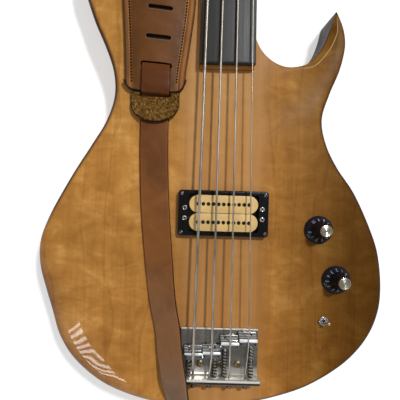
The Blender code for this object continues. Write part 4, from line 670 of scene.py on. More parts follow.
FACE = 42 * MM
NECK_TOP = 48.2 * MM
BOARD_LOW, BOARD_TOP = 48.5 * MM, 55 * MM
HEAD_TOP, HEAD_BACK = 43 * MM, 28 * MM
STRING_Z = 59.3 * MM
SCALE_LENGTH = 864 * MM
BOARD_END = 265.5 * MM
NUT_LENGTH = 5.6 * MM
RIM_Z = 21 * MM
JACK_RIM, JACK_Y = 162.2 * MM, 48 * MM
HORN_RIM, TAIL_RIM = 433 * MM, -73.6 * MM
STRING_RADII = np.array([1.3, 1.05, 0.83, 0.58]) * MM
SADDLE_X = (np.arange(4) - 1.5) * 17.6 * MM
NUT_X = (np.arange(4) - 1.5) * 9.5 * MM
POSTS = np.array([(-26, 916), (-28, 973), (28, 973), (26, 916)]) * MM
OUTLINE = (
    (-27.5, 336), (-40, 343), (-53, 355), (-66, 374), (-77, 396), (-85, 415), (-92, 427.5),
    (-103, 433), (-116, 430), (-130, 420), (-143, 405), (-150.5, 388), (-152, 370),
    (-148.5, 351), (-141.8, 333), (-133, 309), (-122, 285), (-113.3, 260), (-111.7, 236),
    (-119, 211), (-132.7, 187), (-148, 162), (-162, 137), (-174.5, 112), (-183, 87.5),
    (-183.3, 63), (-177.5, 39), (-170, 15), (-162, -9.6), (-146, -33.6), (-115, -57),
    (-70, -71), (-35, -73.6), (0, -73.6), (28, -71), (55, -65), (91.6, -51.6),
    (129.6, -26), (150, -1), (159.8, 23.6), (162.2, 48), (158, 84.6), (149.5, 109),
    (132, 145), (115, 169), (103, 193), (98.5, 217), (105, 242), (113.8, 265),
    (117.8, 281), (119.2, 294), (117, 308), (113.6, 316), (108.7, 324.8),
)
CUTAWAY = (
    (108.7, 324.8), (107.2, 319.8), (105.7, 313), (103.2, 304), (98.4, 292.2), (91.2, 281.8),
    (83.4, 274.1), (74, 269.7), (62, 268.4), (51, 271.5), (42, 277.3), (34, 286), (28.5, 296),
)
HEAD = (
    (21.2, 880), (27, 892), (36, 903), (42.5, 917), (43.5, 936), (41.6, 955), (41, 974),
    (42.6, 992), (41, 1009), (33, 1022), (20, 1029), (8, 1027), (0, 1025),
)


def board_half(y):
    """Half width of the board and neck, narrowing evenly from the body to the nut."""
    return (54.3 + (39.5 - 54.3) * (np.asarray(y, float) - BOARD_END) / (SCALE_LENGTH - BOARD_END)) / 2 * MM


def body():
    """Slab whose rings are inset copies of the outline. Each edge is a quarter of a superellipse, 6 mm
    round the bouts, less in the cutaway and on the treble horn, 40 mm wide and 11 mm deep on top where
    the forearm rests, and a straight bevel inside the treble horn.
    """
    long_side = spaced(smooth_line(OUTLINE, 12), 520)
    cutaway = spaced(smooth_line(CUTAWAY, 12), 90)
    outline = np.vstack([long_side, cutaway[1:]]) * MM
    x, y = outline.T
    normal = inward(outline)
    tip = np.linalg.norm(outline - np.array(OUTLINE[-1]) * MM, axis=1)
    neck = ease(abs(x), 26 * MM, 40 * MM) + (y < 200 * MM)
    inner = np.arange(len(x)) >= len(long_side)
    slope = inner * ease(x, 64 * MM, 88 * MM)
    horn = 1 - ease(tip, 40 * MM, 120 * MM)
    plain = np.where(inner, 2.2 * MM, 6 * MM - 2.8 * MM * horn)
    edge = np.minimum(plain, 0.5 * MM + 0.15 * tip) * np.clip(neck, 0.12, 1)
    forearm = ease(-x, 55 * MM, 110 * MM) * ease(y, -90 * MM, -40 * MM) * (1 - ease(y, 20 * MM, 105 * MM))
    bevel = slope * np.minimum(7 * MM, 0.5 * MM + 0.34 * tip)
    wide = np.maximum(edge, bevel) + 34 * MM * forearm
    drop = np.maximum(edge, 0.8 * bevel) + 5 * MM * forearm
    back = edge * (1 - 0.7 * slope)
    low = np.linspace(math.pi / 2, 0, 7)
    high = np.linspace(0, math.pi / 2, 15)
    power = 2 / (2 - 0.92 * slope)
    rings = [level(outline, 0) + np.column_stack([normal * (back * (1 - math.cos(a)))[:, None],
                                                  back * (1 - math.sin(a))]) for a in low]
    rings += [level(outline, FACE)
              + np.column_stack([normal * (wide * (1 - max(math.cos(a), 0.0) ** power))[:, None],
                                 -drop * (1 - math.sin(a) ** power)]) for a in high]
    level_of = np.repeat(np.arange(22), len(x))
    quiet = np.tile(np.maximum(inner * 1.0, horn), 22)
    slope = np.tile(slope, 22)
    # UV marks for the maple finish. X holds the slope on the lower rings, whose high values mark the treble
    # horn's inner wall for painted shade. Above them X holds half of quiet, which marks the edges kept free
    # of coat and the horn's bevel, where the painted edge shade is lifted. Y marks the bevel's ridge for a
    # painted highlight line.
    marks = np.column_stack([np.where(level_of < 8, slope, (0.5 * quiet + 0.1 * slope) * (level_of < 21)),
                             slope * ((level_of == 19) | (level_of == 20))])
    a, b = board_half(263.5 * MM) + 0.3 * MM, board_half(364 * MM) + 0.3 * MM
    pocket = np.array([(-a, 263.2 * MM), (a, 263.2 * MM), (b, 364 * MM), (-b, 364 * MM)])
    top = FACE + 5 * MM
    control = round_rectangle(31 * MM, 67 * MM, 26 * MM, 10, (107 * MM, 61 * MM))
    recess = round_rectangle(37 * MM, 73 * MM, 32 * MM, 12, (107 * MM, 61 * MM))
    cuts = [lofted([level(pocket, 11.7 * MM), level(pocket, 52 * MM)]),
            prism(round_rectangle(42 * MM, 20.1 * MM, 4 * MM, 5, (0, 119.8 * MM)), 19 * MM, top)]
    cuts += [lofted([level(circle(r, 28, p), 32 * MM), level(circle(r, 28, p), top)])
             for r, p in ((5 * MM, (96 * MM, 106 * MM)), (5 * MM, (114.7 * MM, 56.6 * MM)),
                          (3.3 * MM, (103 * MM, 15.4 * MM)))]
    cuts.append(along(lofted([level(circle(5.6 * MM, 28), -30 * MM), level(circle(5.6 * MM, 28), 9 * MM)]),
                      "+X", (JACK_RIM, JACK_Y, RIM_Z)))
    cavities = [prism(control, -5 * MM, 34 * MM)]
    thing = piece("bass_body", lofted(rings), "maple_body", instead=("body",), cuts=cuts, uv=marks)
    carve(thing, cavities[0], "DIFFERENCE")
    carve(thing, prism(recess, -5 * MM, 2.5 * MM), "DIFFERENCE")
    shaded(thing.data, 32)
    return thing


def section(y, half, top, low, power, count):
    """Flat on top; the belly is a superellipse whose squareness is power."""
    a = np.linspace(0, math.pi, count)
    c, s = np.cos(a), np.sin(a)
    x = np.sign(c) * abs(c) ** (2 / power) * half
    return np.column_stack([x, np.full(count, y), top - (top - low) * abs(s) ** (2 / power)])


def neck():
    """Sections along the neck from smooth lines through their own sizes, joined to a chamfered headstock."""
    end = SCALE_LENGTH + NUT_LENGTH
    stations = np.array([
        (263.5, 12, 14), (344, 12, 14), (353, 15.5, 8), (364, 23, 5), (378, 28, 3.2), (400, 31, 2.4),
        (520, 31.6, 2.3), (640, 32.1, 2.2), (760, 32.7, 2.2), (869.6, 33.2, 2.2),
    ])
    line = np.vstack([stations[:1], smooth_line(stations[1:], 8)])
    rings = [section(y * MM, board_half(y * MM), NECK_TOP, low * MM, power, 41) for y, low, power in line]
    scoop = smooth_line([(0, 0, 0, 0, 2.2), (3, 0.4, 0.62, 0.25, 2.4), (8, 1.6, 3.1, 0.6, 3),
                         (13, 3.6, 4.9, 0.93, 5), (18, 5.4, 5.3, 0.98, 9)], 5)
    for past, wider, down, share, power in scoop[1:]:
        low = (33.2 + (28 - 33.2) * share) * MM
        rings.append(section(end + past * MM, 19.75 * MM + wider * MM, NECK_TOP - down * MM, low, power, 41))
    right = spaced(smooth_line(HEAD, 10), 90) * MM
    head = np.vstack([right, right[-2::-1] * (-1, 1)])
    posts = [lofted([level(circle(8 * MM, 28, p), 23 * MM), level(circle(8 * MM, 28, p), 50 * MM)])
             for p in POSTS]
    pocket = box((-4.8 * MM, 878.6 * MM, 33.7 * MM), (4.8 * MM, 899.6 * MM, 55 * MM))
    return piece("bass_neck", lofted(rings), "maple_neck", instead=("neck",), sharp=40,
                 unions=[prism(head, HEAD_BACK, HEAD_TOP, 1.8 * MM, 1.8 * MM)], cuts=posts + [pocket])


def fingerboard():
    """Bar with a top that is an arc of 300 mm radius, its edges eased, cut square at the body's end."""
    y = np.concatenate([[BOARD_END, BOARD_END + 0.25 * MM, BOARD_END + 0.8 * MM],
                        np.linspace(268, 863.4, 40) * MM, [SCALE_LENGTH]])
    pull = np.array([0.8, 0.25] + [0.0] * (len(y) - 3) + [0.3]) * MM
    rings = []
    for place, short in zip(y, pull):
        half = board_half(place) - short * 0.3
        across = np.linspace(half - 0.9 * MM, -half + 0.9 * MM, 19)
        top = BOARD_TOP - across ** 2 / 0.6 - short
        side_z = top[0] - np.array([0.62, 0.2]) * MM
        side_x = half - np.array([0.0, 0.3]) * MM
        x = np.concatenate([[-half, half], side_x, across, -side_x[::-1]])
        z = np.concatenate([[BOARD_LOW, BOARD_LOW], side_z, top, side_z[::-1]])
        rings.append(np.column_stack([x, np.full(len(x), place), z]))
    return piece("ebony_fingerboard", lofted(rings), "ebony_board", instead=("fingerboard",), sharp=50)


def nut():
    """Bone block with a rounded back and four slots."""
    y0, y1 = SCALE_LENGTH + 0.3 * MM, SCALE_LENGTH + NUT_LENGTH
    top = BOARD_TOP + 2.6 * MM
    t = np.linspace(0, 1, 9)
    curve = np.column_stack([y1 - (y1 - y0) * t, top - 1.6 * MM * (1 - t) ** 2])
    profile = np.vstack([[(y0, BOARD_LOW), (y1, BOARD_LOW)], curve])
    rings = [np.column_stack([np.full(len(profile), x), profile]) for x in np.linspace(-19.75, 19.75, 9) * MM]
    slots = [along(lofted([level(circle(r + 0.3 * MM, 20), -10 * MM),
                           level(circle(r + 0.3 * MM, 20), 16 * MM)]), "+Y",
                   (x, y0, BOARD_TOP + 0.7 * MM + r)) for x, r in zip(NUT_X, STRING_RADII)]
    slots += [box((x - r - 0.3 * MM, y0 - 5 * MM, BOARD_TOP + 0.7 * MM + r),
                  (x + r + 0.3 * MM, y1 + 5 * MM, top + 4 * MM))
              for x, r in zip(NUT_X, STRING_RADII)]
    return piece("bone_string_nut", lofted(rings), "bone_nut", instead=("nut",), cuts=slots, crossing=True)


def string_line(i):
    """Middle line of a string: lip, crest, nut, then a climbing helix round its post."""
    r = STRING_RADII[i]
    crest = (-16.2, -14.8, -5.3, -2.0)[i] * MM
    lip = np.array([SADDLE_X[i] + (0.6, -1.5, 0.6, -1.5)[i] * MM, -44.8 * MM, 52.7 * MM])
    nut_point = np.array([NUT_X[i], SCALE_LENGTH, BOARD_TOP + 0.7 * MM + r])
    behind = nut_point + (0, NUT_LENGTH * 0.7, -0.25 * MM)
    post = POSTS[i]
    way = 1 if post[0] < 0 else -1
    reach = 5.7 * MM + 0.3 * MM + r
    step = post - behind[:2]
    far = math.hypot(*step)
    aim = math.atan2(step[1], step[0]) - way * math.asin(reach / far)
    run = math.sqrt(far * far - reach * reach)
    low = HEAD_TOP + 4.2 * MM + r
    half_way = (*(behind[:2] + run * 0.5 * np.array([math.cos(aim), math.sin(aim)])), (behind[2] + low) / 2)
    k = np.arange(46) / 36
    turn = aim - way * math.pi / 2 + way * 2 * math.pi * k
    coil = np.column_stack([post[0] + reach * np.cos(turn), post[1] + reach * np.sin(turn),
                            low + (2 * r + 0.5 * MM) * k])
    end = coil[-1] + (coil[-1] - coil[-2]) / np.linalg.norm(coil[-1] - coil[-2]) * 2 * r
    start = [lip - (0, 2.5 * MM, 0), lip, (lip[0], -39.6 * MM, lip[2])]
    bend = [(SADDLE_X[i], crest - 3.4 * MM, STRING_Z), (SADDLE_X[i], crest + 9 * MM, STRING_Z)]
    middle = np.linspace(bend[-1], nut_point, 24)[1:]
    return np.vstack([start, bend, middle, [behind, half_way], coil, [end]])


def ball_end(i):
    """Grooved drum behind the lip, lying across the string."""
    x = SADDLE_X[i] + (0.6, -1.5, 0.6, -1.5)[i] * MM
    profile = rounded_profile([(0.4, 0), (2.3, 0), (2.3, 1.5), (1.7, 1.9), (1.7, 3.1), (2.3, 3.5),
                               (2.3, 5), (0.4, 5)],
                              0.4) * MM
    return along(turned(profile, 24), "-Y", (x, -44.8 * MM, 52.7 * MM))


def strings():
    """Each string is a tube of its own radius along its line, with its ball end behind the bridge's lip."""
    for i, name in enumerate(STRING_NAMES):
        look = "string_heavy" if i < 2 else "string_light"
        piece(f"wound_string_{name}", tube(string_line(i), STRING_RADII[i], 14), look,
              instead=(f"string_{name}",), sharp=60)
        piece(f"ball_end_{name}", ball_end(i), "dark_metal")


def cross_head(radius, height, cross=True, sides=28):
    """Domed screw head, a quarter circle over its rim, and the crossed or single slot to cut into it."""
    t = np.linspace(0, math.pi / 2, 7)[1:-1]
    dome = [(radius, 0), (radius, height * 0.4)]
    dome += [(radius * math.cos(a), height * (0.4 + 0.6 * math.sin(a))) for a in t]
    head = turned(dome, sides)
    w, reach, depth = 0.17 * radius, radius * 0.62, height * 0.5
    bar = [(w, -reach), (w, -w), (reach, -w), (reach, w), (w, w), (w, reach), (-w, reach), (-w, w),
           (-reach, w), (-reach, -w), (-w, -w), (-w, -reach)]
    if not cross:
        bar = [(-reach * 1.7, -w), (reach * 1.7, -w), (reach * 1.7, w), (-reach * 1.7, w)]
    return head, lofted([level(np.array(bar), depth), level(np.array(bar), height * 2)])


def screws(name, places, low, radius, height, look, turns, cross=True, down=False, body="bass"):
    """Separate domed heads with crossed or slotted recesses, each turned its own way."""
    shapes, cuts = [], []
    axis = "-Z" if down else "+Z"
    for (x, y), turn in zip(places, turns):
        head, recess = cross_head(radius, height, cross)
        c, s = math.cos(turn), math.sin(turn)
        spin = np.array([[c, s, 0], [-s, c, 0], [0, 0, 1]])
        shapes.append(along(head, axis, (x, y, low)))
        cuts.append(along((recess[0] @ spin, recess[1]), axis, (x, y, low)))
    thing = piece(name, joined(shapes), look, body=body, sharp=35)
    carve(thing, joined(cuts), "DIFFERENCE")
    shaded(thing.data, 35)
    return thing


def bridge_metal(name):
    """Nickel with slight roughness wear. Bands over Y and Z paint highlights, pale and less metallic, on the
    plate's front edge, along the lip's top front edge and, at half strength, over the plate's rear part and
    the lip below its top, and paint shade on the rest of the lip's top.
    """
    f = metal(name, (0.5, 0.47, 0.42), 0.2, 0.08, 90)
    y, z = f.axis("Y"), f.axis("Z")
    # Painted highlight along the plate's front edge.
    front = f.sum(f.curve(y, 4.3 * MM, 4.9 * MM), f.curve(z, 44.2 * MM, 44.8 * MM), "MULTIPLY")
    lip = f.curve(z, 57.5 * MM, 58.5 * MM)
    # Painted highlight on the lip's top front edge (crest), painted shade on the rest of its top (rear).
    crest = f.sum(lip, f.curve(y, -42.1 * MM, -41.6 * MM), "MULTIPLY")
    rear = f.sum(lip, crest, "SUBTRACT")
    base = f.shader.inputs["Base Color"].links[0].from_socket
    base = f.mixed(f.sum(rear, 0.85, "MULTIPLY"), base, (0.05, 0.05, 0.048))
    # Painted highlight at half strength over the plate's rear part and the lip below its top.
    apron = f.sum(f.curve(y, -30 * MM, -34 * MM, 0.0, 0.5), f.sum(1.0, lip, "SUBTRACT"), "MULTIPLY")
    painted_highlight = f.sum(f.sum(front, crest, "MAXIMUM"), apron, "MAXIMUM")
    f.set(**{"Base Color": f.mixed(painted_highlight, base, (0.8, 0.77, 0.7)),
             "Metallic": f.curve(painted_highlight, 0.0, 1.0, 1.0, 0.3)})
    return f


def saddle_metal(name):
    """Polished saddle whose light and shade are painted by a ramp over Z: a bright crest, paler and less
    metallic, a dark neck under it, a bright line at the top of each step's riser with darker bands above,
    and a grey block.
    """
    f = metal(name, (0.6, 0.6, 0.6), 0.14, 0.06, 90)
    # Painted light and shade: the ramp's bright and dark bands stand in for light on the crest and the steps.
    place = f.curve(f.axis("Z"), 50.0 * MM, 58.5 * MM)
    shade = f.ramp(place, [
        (0.0, (0.3, 0.3, 0.31)), (0.1, (0.62, 0.62, 0.63)), (0.14, (0.62, 0.62, 0.63)),
        (0.2, (0.13, 0.13, 0.13)),
        (0.4, (0.2, 0.2, 0.2)), (0.44, (0.66, 0.66, 0.66)), (0.48, (0.66, 0.66, 0.66)),
        (0.55, (0.2, 0.2, 0.21)),
        (0.66, (0.55, 0.56, 0.6)), (0.78, (0.06, 0.06, 0.06)), (0.84, (0.1, 0.1, 0.1)),
        (0.88, (0.9, 0.9, 0.9)), (1.0, (0.95, 0.95, 0.94))])
    f.set(**{"Base Color": shade, "Metallic": f.curve(place, 0.84, 0.88, 1.0, 0.35)})
    return f


def bridge():
    """Bent plate from one rounded profile across the bridge, its rear lip bored for strings and screws."""
    half = 38 * MM
    top = 45.3 * MM
    profile = rounded_profile(np.array([
        (-20, 42.3), (6, 42.3), (6, 45.3), (-38.8, 45.3), (-40.2, 46.7), (-40.2, 59.9), (-44.5, 59.9),
        (-44.5, 42.3), (-20, 42.3)]), 0.9) * MM
    ends = np.array([-1, -0.985, 0.985, 1]) * half
    middle = profile.mean(axis=0)
    rings = []
    for x in ends:
        shrink = 0.35 * MM if abs(x) > 0.99 * half else 0.0
        pull = (middle - profile) / np.linalg.norm(middle - profile, axis=1)[:, None] * shrink
        rings.append(np.column_stack([np.full(len(profile), x), profile + pull]))
    holes = []
    for i, r in enumerate(STRING_RADII):
        x = SADDLE_X[i] + (0.6, -1.5, 0.6, -1.5)[i] * MM
        hole = lofted([level(circle(r + 0.35 * MM, 20), -50 * MM),
                       level(circle(r + 0.35 * MM, 20), -36 * MM)])
        holes.append(along(hole, "+Y", (x, 0, 52.7 * MM)))
        hole = lofted([level(circle(1.5 * MM, 20), -50 * MM), level(circle(1.5 * MM, 20), -36 * MM)])
        holes.append(along(hole, "+Y", (SADDLE_X[i] + (-4.2, 3.6, -4.2, 3.6)[i] * MM, 0, 52.3 * MM)))
    piece("bridge_base", lofted(rings), "bridge_metal", instead=("bridge_plate",), cuts=holes)
    places = [((i - 1) * 18.6 * MM, -29.2 * MM) for i in range(3)]
    screws("bridge_screws", places, top, 3.5 * MM, 2.0 * MM, "brass_screw", (0.3, 1.1, 0.7))


def saddle(i):
    """Stepped block: profile along the string, carried across the saddle's width with eased ends."""
    name, x, y = STRING_NAMES[i], SADDLE_X[i], (-16.2, -14.8, -5.3, -2.0)[i] * MM
    low, ledge = 48.0, 55.5
    crest = (STRING_Z - STRING_RADII[i]) / MM - 0.3
    rise = crest - low
    profile = rounded_profile(np.array([
        (0, low), (6, low), (6, low + 0.3 * rise), (4, low + 0.3 * rise), (4, low + 0.58 * rise),
        (2.2, low + 0.58 * rise), (1.7, crest - 0.9), (0.6, crest), (-0.6, crest), (-1.7, crest - 0.9),
        (-2.0, ledge), (-6, ledge), (-6, low), (0, low)]), 0.45) * MM
    widths = np.array([-8.6, -8.35, -8.1, 8.1, 8.35, 8.6]) * MM
    shrink = np.array([0.3, 0.08, 0, 0, 0.08, 0.3]) * MM
    middle = profile.mean(axis=0)
    pull = (middle - profile) / np.linalg.norm(middle - profile, axis=1)[:, None]
    rings = [np.column_stack([np.full(len(profile), x + w), y + (profile + pull * s)[:, 0],
                              (profile + pull * s)[:, 1]])
             for w, s in zip(widths, shrink)]
    offset = (-4.2, 3.6, -4.2, 3.6)[i] * MM
    bore = along(lofted([level(circle(1.55 * MM, 20), -10 * MM), level(circle(1.55 * MM, 20), 10 * MM)]),
                 "+Y", (x + offset, y, 52.3 * MM))
    spread = [(x + s * 7.1 * MM, y - 3.9 * MM) for s in (-1, 1)]
    wells = [lofted([level(circle(1.25 * MM, 20, p), (ledge - 1.8) * MM),
                     level(circle(1.25 * MM, 20, p), (ledge + 2) * MM)])
             for p in spread]
    groove = along(lofted([level(circle(STRING_RADII[i] + 0.32 * MM, 20), -3 * MM),
                           level(circle(STRING_RADII[i] + 0.32 * MM, 20), 3 * MM)]), "+Y",
                           (x, y, STRING_Z - 0.3 * MM))
    piece(f"bridge_saddle_{name}", lofted(rings), "saddle_metal", body=f"saddle_{name}",
          instead=(f"saddle_{name}",), cuts=[bore, *wells, groove], sharp=30)
    pins = [moved(turned(rounded_profile([(0.3, 45.6), (1.0, 45.6), (1.0, ledge - 1.2),
                                          (0.5, ledge - 1.2)], 0.2) * MM, 16),
                  (*p, 0)) for p in spread]
    piece(f"height_screws_{name}", joined(pins), "dark_metal", body=f"saddle_{name}")


def intonation(i):
    """Screw with a slotted head behind the lip, and its coil spring: a helix of
    even pitch between lip and saddle.
    """
    name, y = STRING_NAMES[i], (-16.2, -14.8, -5.3, -2.0)[i] * MM
    x = SADDLE_X[i] + (-4.2, 3.6, -4.2, 3.6)[i] * MM
    head, rear = -44.8 * MM, y - 6 * MM
    profile = rounded_profile(np.array([(0.4, -2), (1.7, -2), (2.1, -1.4), (2.1, 0), (1.2, 0), (1.2, 40),
                                        (0.6, 40)]),
                              0.3) * MM
    profile[:, 1] = np.where(profile[:, 1] > 20 * MM, rear + 8 * MM - head, profile[:, 1])
    screw = along(turned(profile, 20), "+Y", (x, head, 52.3 * MM))
    slot = box((x - 3 * MM, head - 3 * MM, 51.95 * MM), (x + 3 * MM, head - 1.2 * MM, 52.65 * MM))
    piece(f"intonation_bolt_{name}", screw, "screw_metal", body=f"intonation_screw_{name}",
          instead=(f"intonation_screw_{name}",), cuts=[slot])
    first, last = -39.9 * MM, rear - 0.3 * MM
    free = last - first - 1.6 * MM
    curls = round(free / (3.0 * MM))
    k = np.linspace(0, curls, curls * 20 + 1)
    a = 2 * math.pi * k
    line = np.column_stack([x + 2.4 * MM * np.cos(a), first + 0.8 * MM + free * k / curls,
                            52.3 * MM + 2.4 * MM * np.sin(a)])
    spring = piece(f"coil_spring_{name}", tube(line, 0.55 * MM, 8), "spring_wire",
                   instead=(f"intonation_spring_{name}",), sharp=70)
    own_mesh(spring)


def pickup():
    """Ring with a sloping outer edge, two bobbins with half-round ends, pole
    screws in wells, and their screws. The pole screws' tops and the height screws' sockets are near-black:
    painted shade of the wells and the sockets.
    """
    middle_y = 119.8 * MM
    outline = round_rectangle(44.5 * MM, 22.5 * MM, 3 * MM, 10, (0, middle_y))
    opening = round_rectangle(34.55 * MM, 18.4 * MM, 3 * MM, 8, (0, middle_y))
    hole = lofted([level(opening, 38 * MM), level(opening, 55 * MM)])
    well = prism(round_rectangle(42 * MM, 9 * MM, 2 * MM, 4, (0, middle_y)), 38 * MM, 47.4 * MM)
    piece("pickup_surround", prism(outline, 42.3 * MM, 49.8 * MM, 0, 1.6 * MM, 6), "black_ring",
          instead=("pickup_ring",), cuts=[hole, well], sharp=28, crossing=True)
    corners = [(sx * 41.1 * MM, middle_y + sy * 19.1 * MM) for sx in (-1, 1) for sy in (-1, 1)]
    screws("ring_corner_screws", corners, 49.75 * MM, 1.7 * MM, 1.0 * MM, "black_screw", (0.2, 0.9, 1.3, 0.5))
    heights = [(sx * 38 * MM, middle_y + sy * 5 * MM) for sx in (-1, 1) for sy in (-1, 1)]
    head = rounded_profile([(0.2, -0.4), (2.4, -0.4), (2.4, 0.7), (1.9, 1.35), (1.0, 1.4), (1.0, 0.4),
                            (0.2, 0.3)],
                           0.2) * MM
    piece("pickup_height_screws",
          joined([moved(turned(head, 32), (*place, 49.75 * MM)) for place in heights]),
          "chrome", sharp=40)
    # Painted shade: a black disc at the bottom of each height screw's socket.
    socket = turned(np.array([(0.1, 0.3), (0.97, 0.3), (0.97, 0.75), (0.1, 0.72)]) * MM, 24)
    piece("height_screw_sockets", joined([moved(socket, (*place, 49.75 * MM)) for place in heights]),
          "hole_shade_black")
    for side, name in ((1, "front"), (-1, "rear")):
        y = middle_y + side * 8.95 * MM
        form = stadium(33.75 * MM, 8.8 * MM, 22, (0, y))
        places = [((k - 5) * 5 * MM, y) for k in range(11)]
        wells = [lofted([level(circle(1.9 * MM, 22, p), 48.2 * MM),
                         level(circle(1.9 * MM, 22, p), 53 * MM)]) for p in places]
        piece(f"{name}_bobbin", prism(form, 39.4 * MM, 50.4 * MM, 0.3 * MM, 0.7 * MM, 5), "cream_bobbin",
              body="pickup", instead=(f"pickup_{name}_bobbin",), cuts=wells, sharp=40)
        # Painted shade: the pole screws are near-black, so that the wells read as dark holes.
        poles = [moved(turned(rounded_profile([(0.2, 45), (1.87, 45), (1.87, 49.2), (0.9, 49.2),
                                               (0.75, 48.9), (0.1, 48.9)],
                                              0.15) * MM, 16), (*p, 0)) for p in places]
        piece(f"{name}_poles", joined(poles), "hole_shade_black", body="pickup")


def skirt_height(r):
    """Height of the knob's surface above its foot for a distance from its
    axis: a flared skirt under a waist.
    """
    radius = np.array([6.35, 6.9, 7.4, 8.2, 9.2, 10.6, 12.2, 13.4, 14.0]) * MM
    height = np.array([20.0, 14.0, 10.6, 7.9, 5.9, 4.2, 2.9, 2.0, 1.3]) * MM
    return np.interp(r, radius, height)


def numeral(text, size):
    """A numeral's filled outline as a thin slab: its face at height one, its underside at height zero."""
    words = bpy.data.curves.new("numeral", "FONT")
    words.body = text
    words.size = size
    words.align_x = "CENTER"
    words.align_y = "CENTER"
    words.resolution_u = 3
    words.offset = size * 0.012
    holder = bpy.data.objects.new("numeral", words)
    bpy.context.scene.collection.objects.link(holder)
    bpy.context.view_layer.update()
    flat = bpy.data.meshes.new_from_object(holder.evaluated_get(bpy.context.evaluated_depsgraph_get()))
    bpy.data.objects.remove(holder)
    work = bmesh.new()
    work.from_mesh(flat)
    bmesh.ops.remove_doubles(work, verts=work.verts, dist=1e-7)
    grown = bmesh.ops.extrude_face_region(work, geom=list(work.faces))
    for vert in (g for g in grown["geom"] if isinstance(g, bmesh.types.BMVert)):
        vert.co.z += 1.0
    work.verts.index_update()
    v = np.array([vert.co for vert in work.verts])
    faces = [[vert.index for vert in face.verts] for face in work.faces]
    work.free()
    return v, faces


def on_skirt(mark, angle, reach, centre, low):
    """The mark laid on a knob's skirt, its head towards the axis: sideways
    runs round, upwards runs inwards.
    """
    v, faces = mark
    out, side = reach - v[:, 1], v[:, 0]
    c, s = math.cos(angle), math.sin(angle)
    z = low + skirt_height(np.hypot(out, side)) + np.where(v[:, 2] > 0.5, 0.08, -0.12) * MM
    return np.column_stack([centre[0] + out * c - side * s, centre[1] + out * s + side * c, z]), faces


def knob(name, place, first_angle):
    """Turned knob: flared skirt with numerals, waist, flat top with a bright inlaid disc."""
    x, y = place
    foot = 42.6 * MM
    skirt = rounded_profile(np.array([
        (5, 0), (14, 0), (14, 1.3), (13.4, 2.0), (12.2, 2.9), (10.6, 4.2), (9.2, 5.9), (8.2, 7.9),
        (7.4, 10.6), (6.9, 14.0), (6.45, 19.4), (6.0, 20.0), (5, 20.0)]), 0.35, 4) * MM
    recess = lofted([level(circle(9.2 * MM, 32), -2 * MM), level(circle(9.2 * MM, 32), 3.6 * MM)])
    bore = lofted([level(circle(3.3 * MM, 24), 2 * MM), level(circle(3.3 * MM, 24), 16 * MM)])
    dial = piece(f"{name}_dial", moved(turned(skirt, 72), (x, y, foot)), "black_knob", body=f"{name}_knob",
                 instead=(f"{name}_knob",), cuts=[moved(recess, (x, y, foot))], sharp=38)
    carve(dial, moved(bore, (x, y, foot)), "DIFFERENCE")
    shaded(dial.data, 38)
    grooves = np.linspace(5.1, 0.15, 120)
    cap = np.vstack([[(0.2, 0), (5.75, 0), (5.75, 0.9), (5.6, 1.2), (5.3, 1.33)],
                     np.column_stack([grooves, 1.33 + 0.022 * np.sin(grooves * 2 * math.pi / 0.45)])]) * MM
    piece(f"{name}_disc", moved(turned(cap, 56), (x, y, 62.9 * MM)), "cap_metal", body=f"{name}_knob",
          instead=(f"{name}_knob_cap",), sharp=40)
    pitch = math.radians(29.5)
    marks = [on_skirt(numeral(str(n), 3.6 * MM), first_angle + n * pitch, 10.4 * MM, place, foot)
             for n in range(11)]
    piece(f"{name}_numerals", joined(marks), "dial_white", body=f"{name}_knob", sharp=20)


def controls():
    """Knobs turned to their marks, a red dot beside each, and the switch as
    profiles turned about its axis.
    """
    knob("volume", (96 * MM, 106 * MM), math.radians(193.6))
    knob("tone", (114.7 * MM, 56.6 * MM), math.radians(185 - 5 * 29.5))
    disc = turned(np.array([(0.1, -0.1), (0.9, -0.1), (0.85, 0.06), (0.1, 0.08)]) * MM, 18)
    dots = [moved(disc, (91.9 * MM, 124.6 * MM, FACE)), moved(disc, (110.6 * MM, 73.7 * MM, FACE))]
    piece("index_dots", joined(dots), "index_red")
    x, y = 103 * MM, 15.4 * MM
    collar = turned_tube(rounded_profile([(3.0, 33), (3.0, 46.5), (2.3, 46.5)], 0.3) * MM, 1.9 * MM, 32)
    ring = turned_tube(rounded_profile([(4.6, 42.3), (4.6, 43.9), (4.1, 44.3), (3.1, 44.3)], 0.25) * MM,
                       2.9 * MM, 48)
    threads = turned_tube(np.array([(3.0 + 0.14 * (k % 2), 44.4 + 0.18 * k) for k in range(12)]) * MM,
                          2.0 * MM, 32)
    piece("switch_collar", joined([moved(s, (x, y, 0)) for s in (collar, ring, threads)]), "chrome")
    dress("switch_body", "screw_metal")
    lean = math.radians(12)
    stick = rounded_profile([(0.3, -1.2), (0.9, -1.2), (1.0, 0), (1.05, 3), (1.45, 8.6), (1.15, 9.9),
                             (0.2, 9.9)], 0.6) * MM
    v, faces = turned(stick, 28)
    tilt = np.array([[math.cos(lean), 0, -math.sin(lean)], [0, 1, 0], [math.sin(lean), 0, math.cos(lean)]])
    piece("switch_bat", (v @ tilt + (x, y, 44.5 * MM), faces), "chrome", body="switch_lever",
          instead=("switch_lever",), sharp=45)
    for name in ("volume", "tone"):
        dress(f"{name}_pot", "screw_metal")
        dress(f"{name}_pot_shaft", "screw_metal")
    dress("pickup_baseplate", "dark_metal")
    dress("truss_rod", "screw_metal")


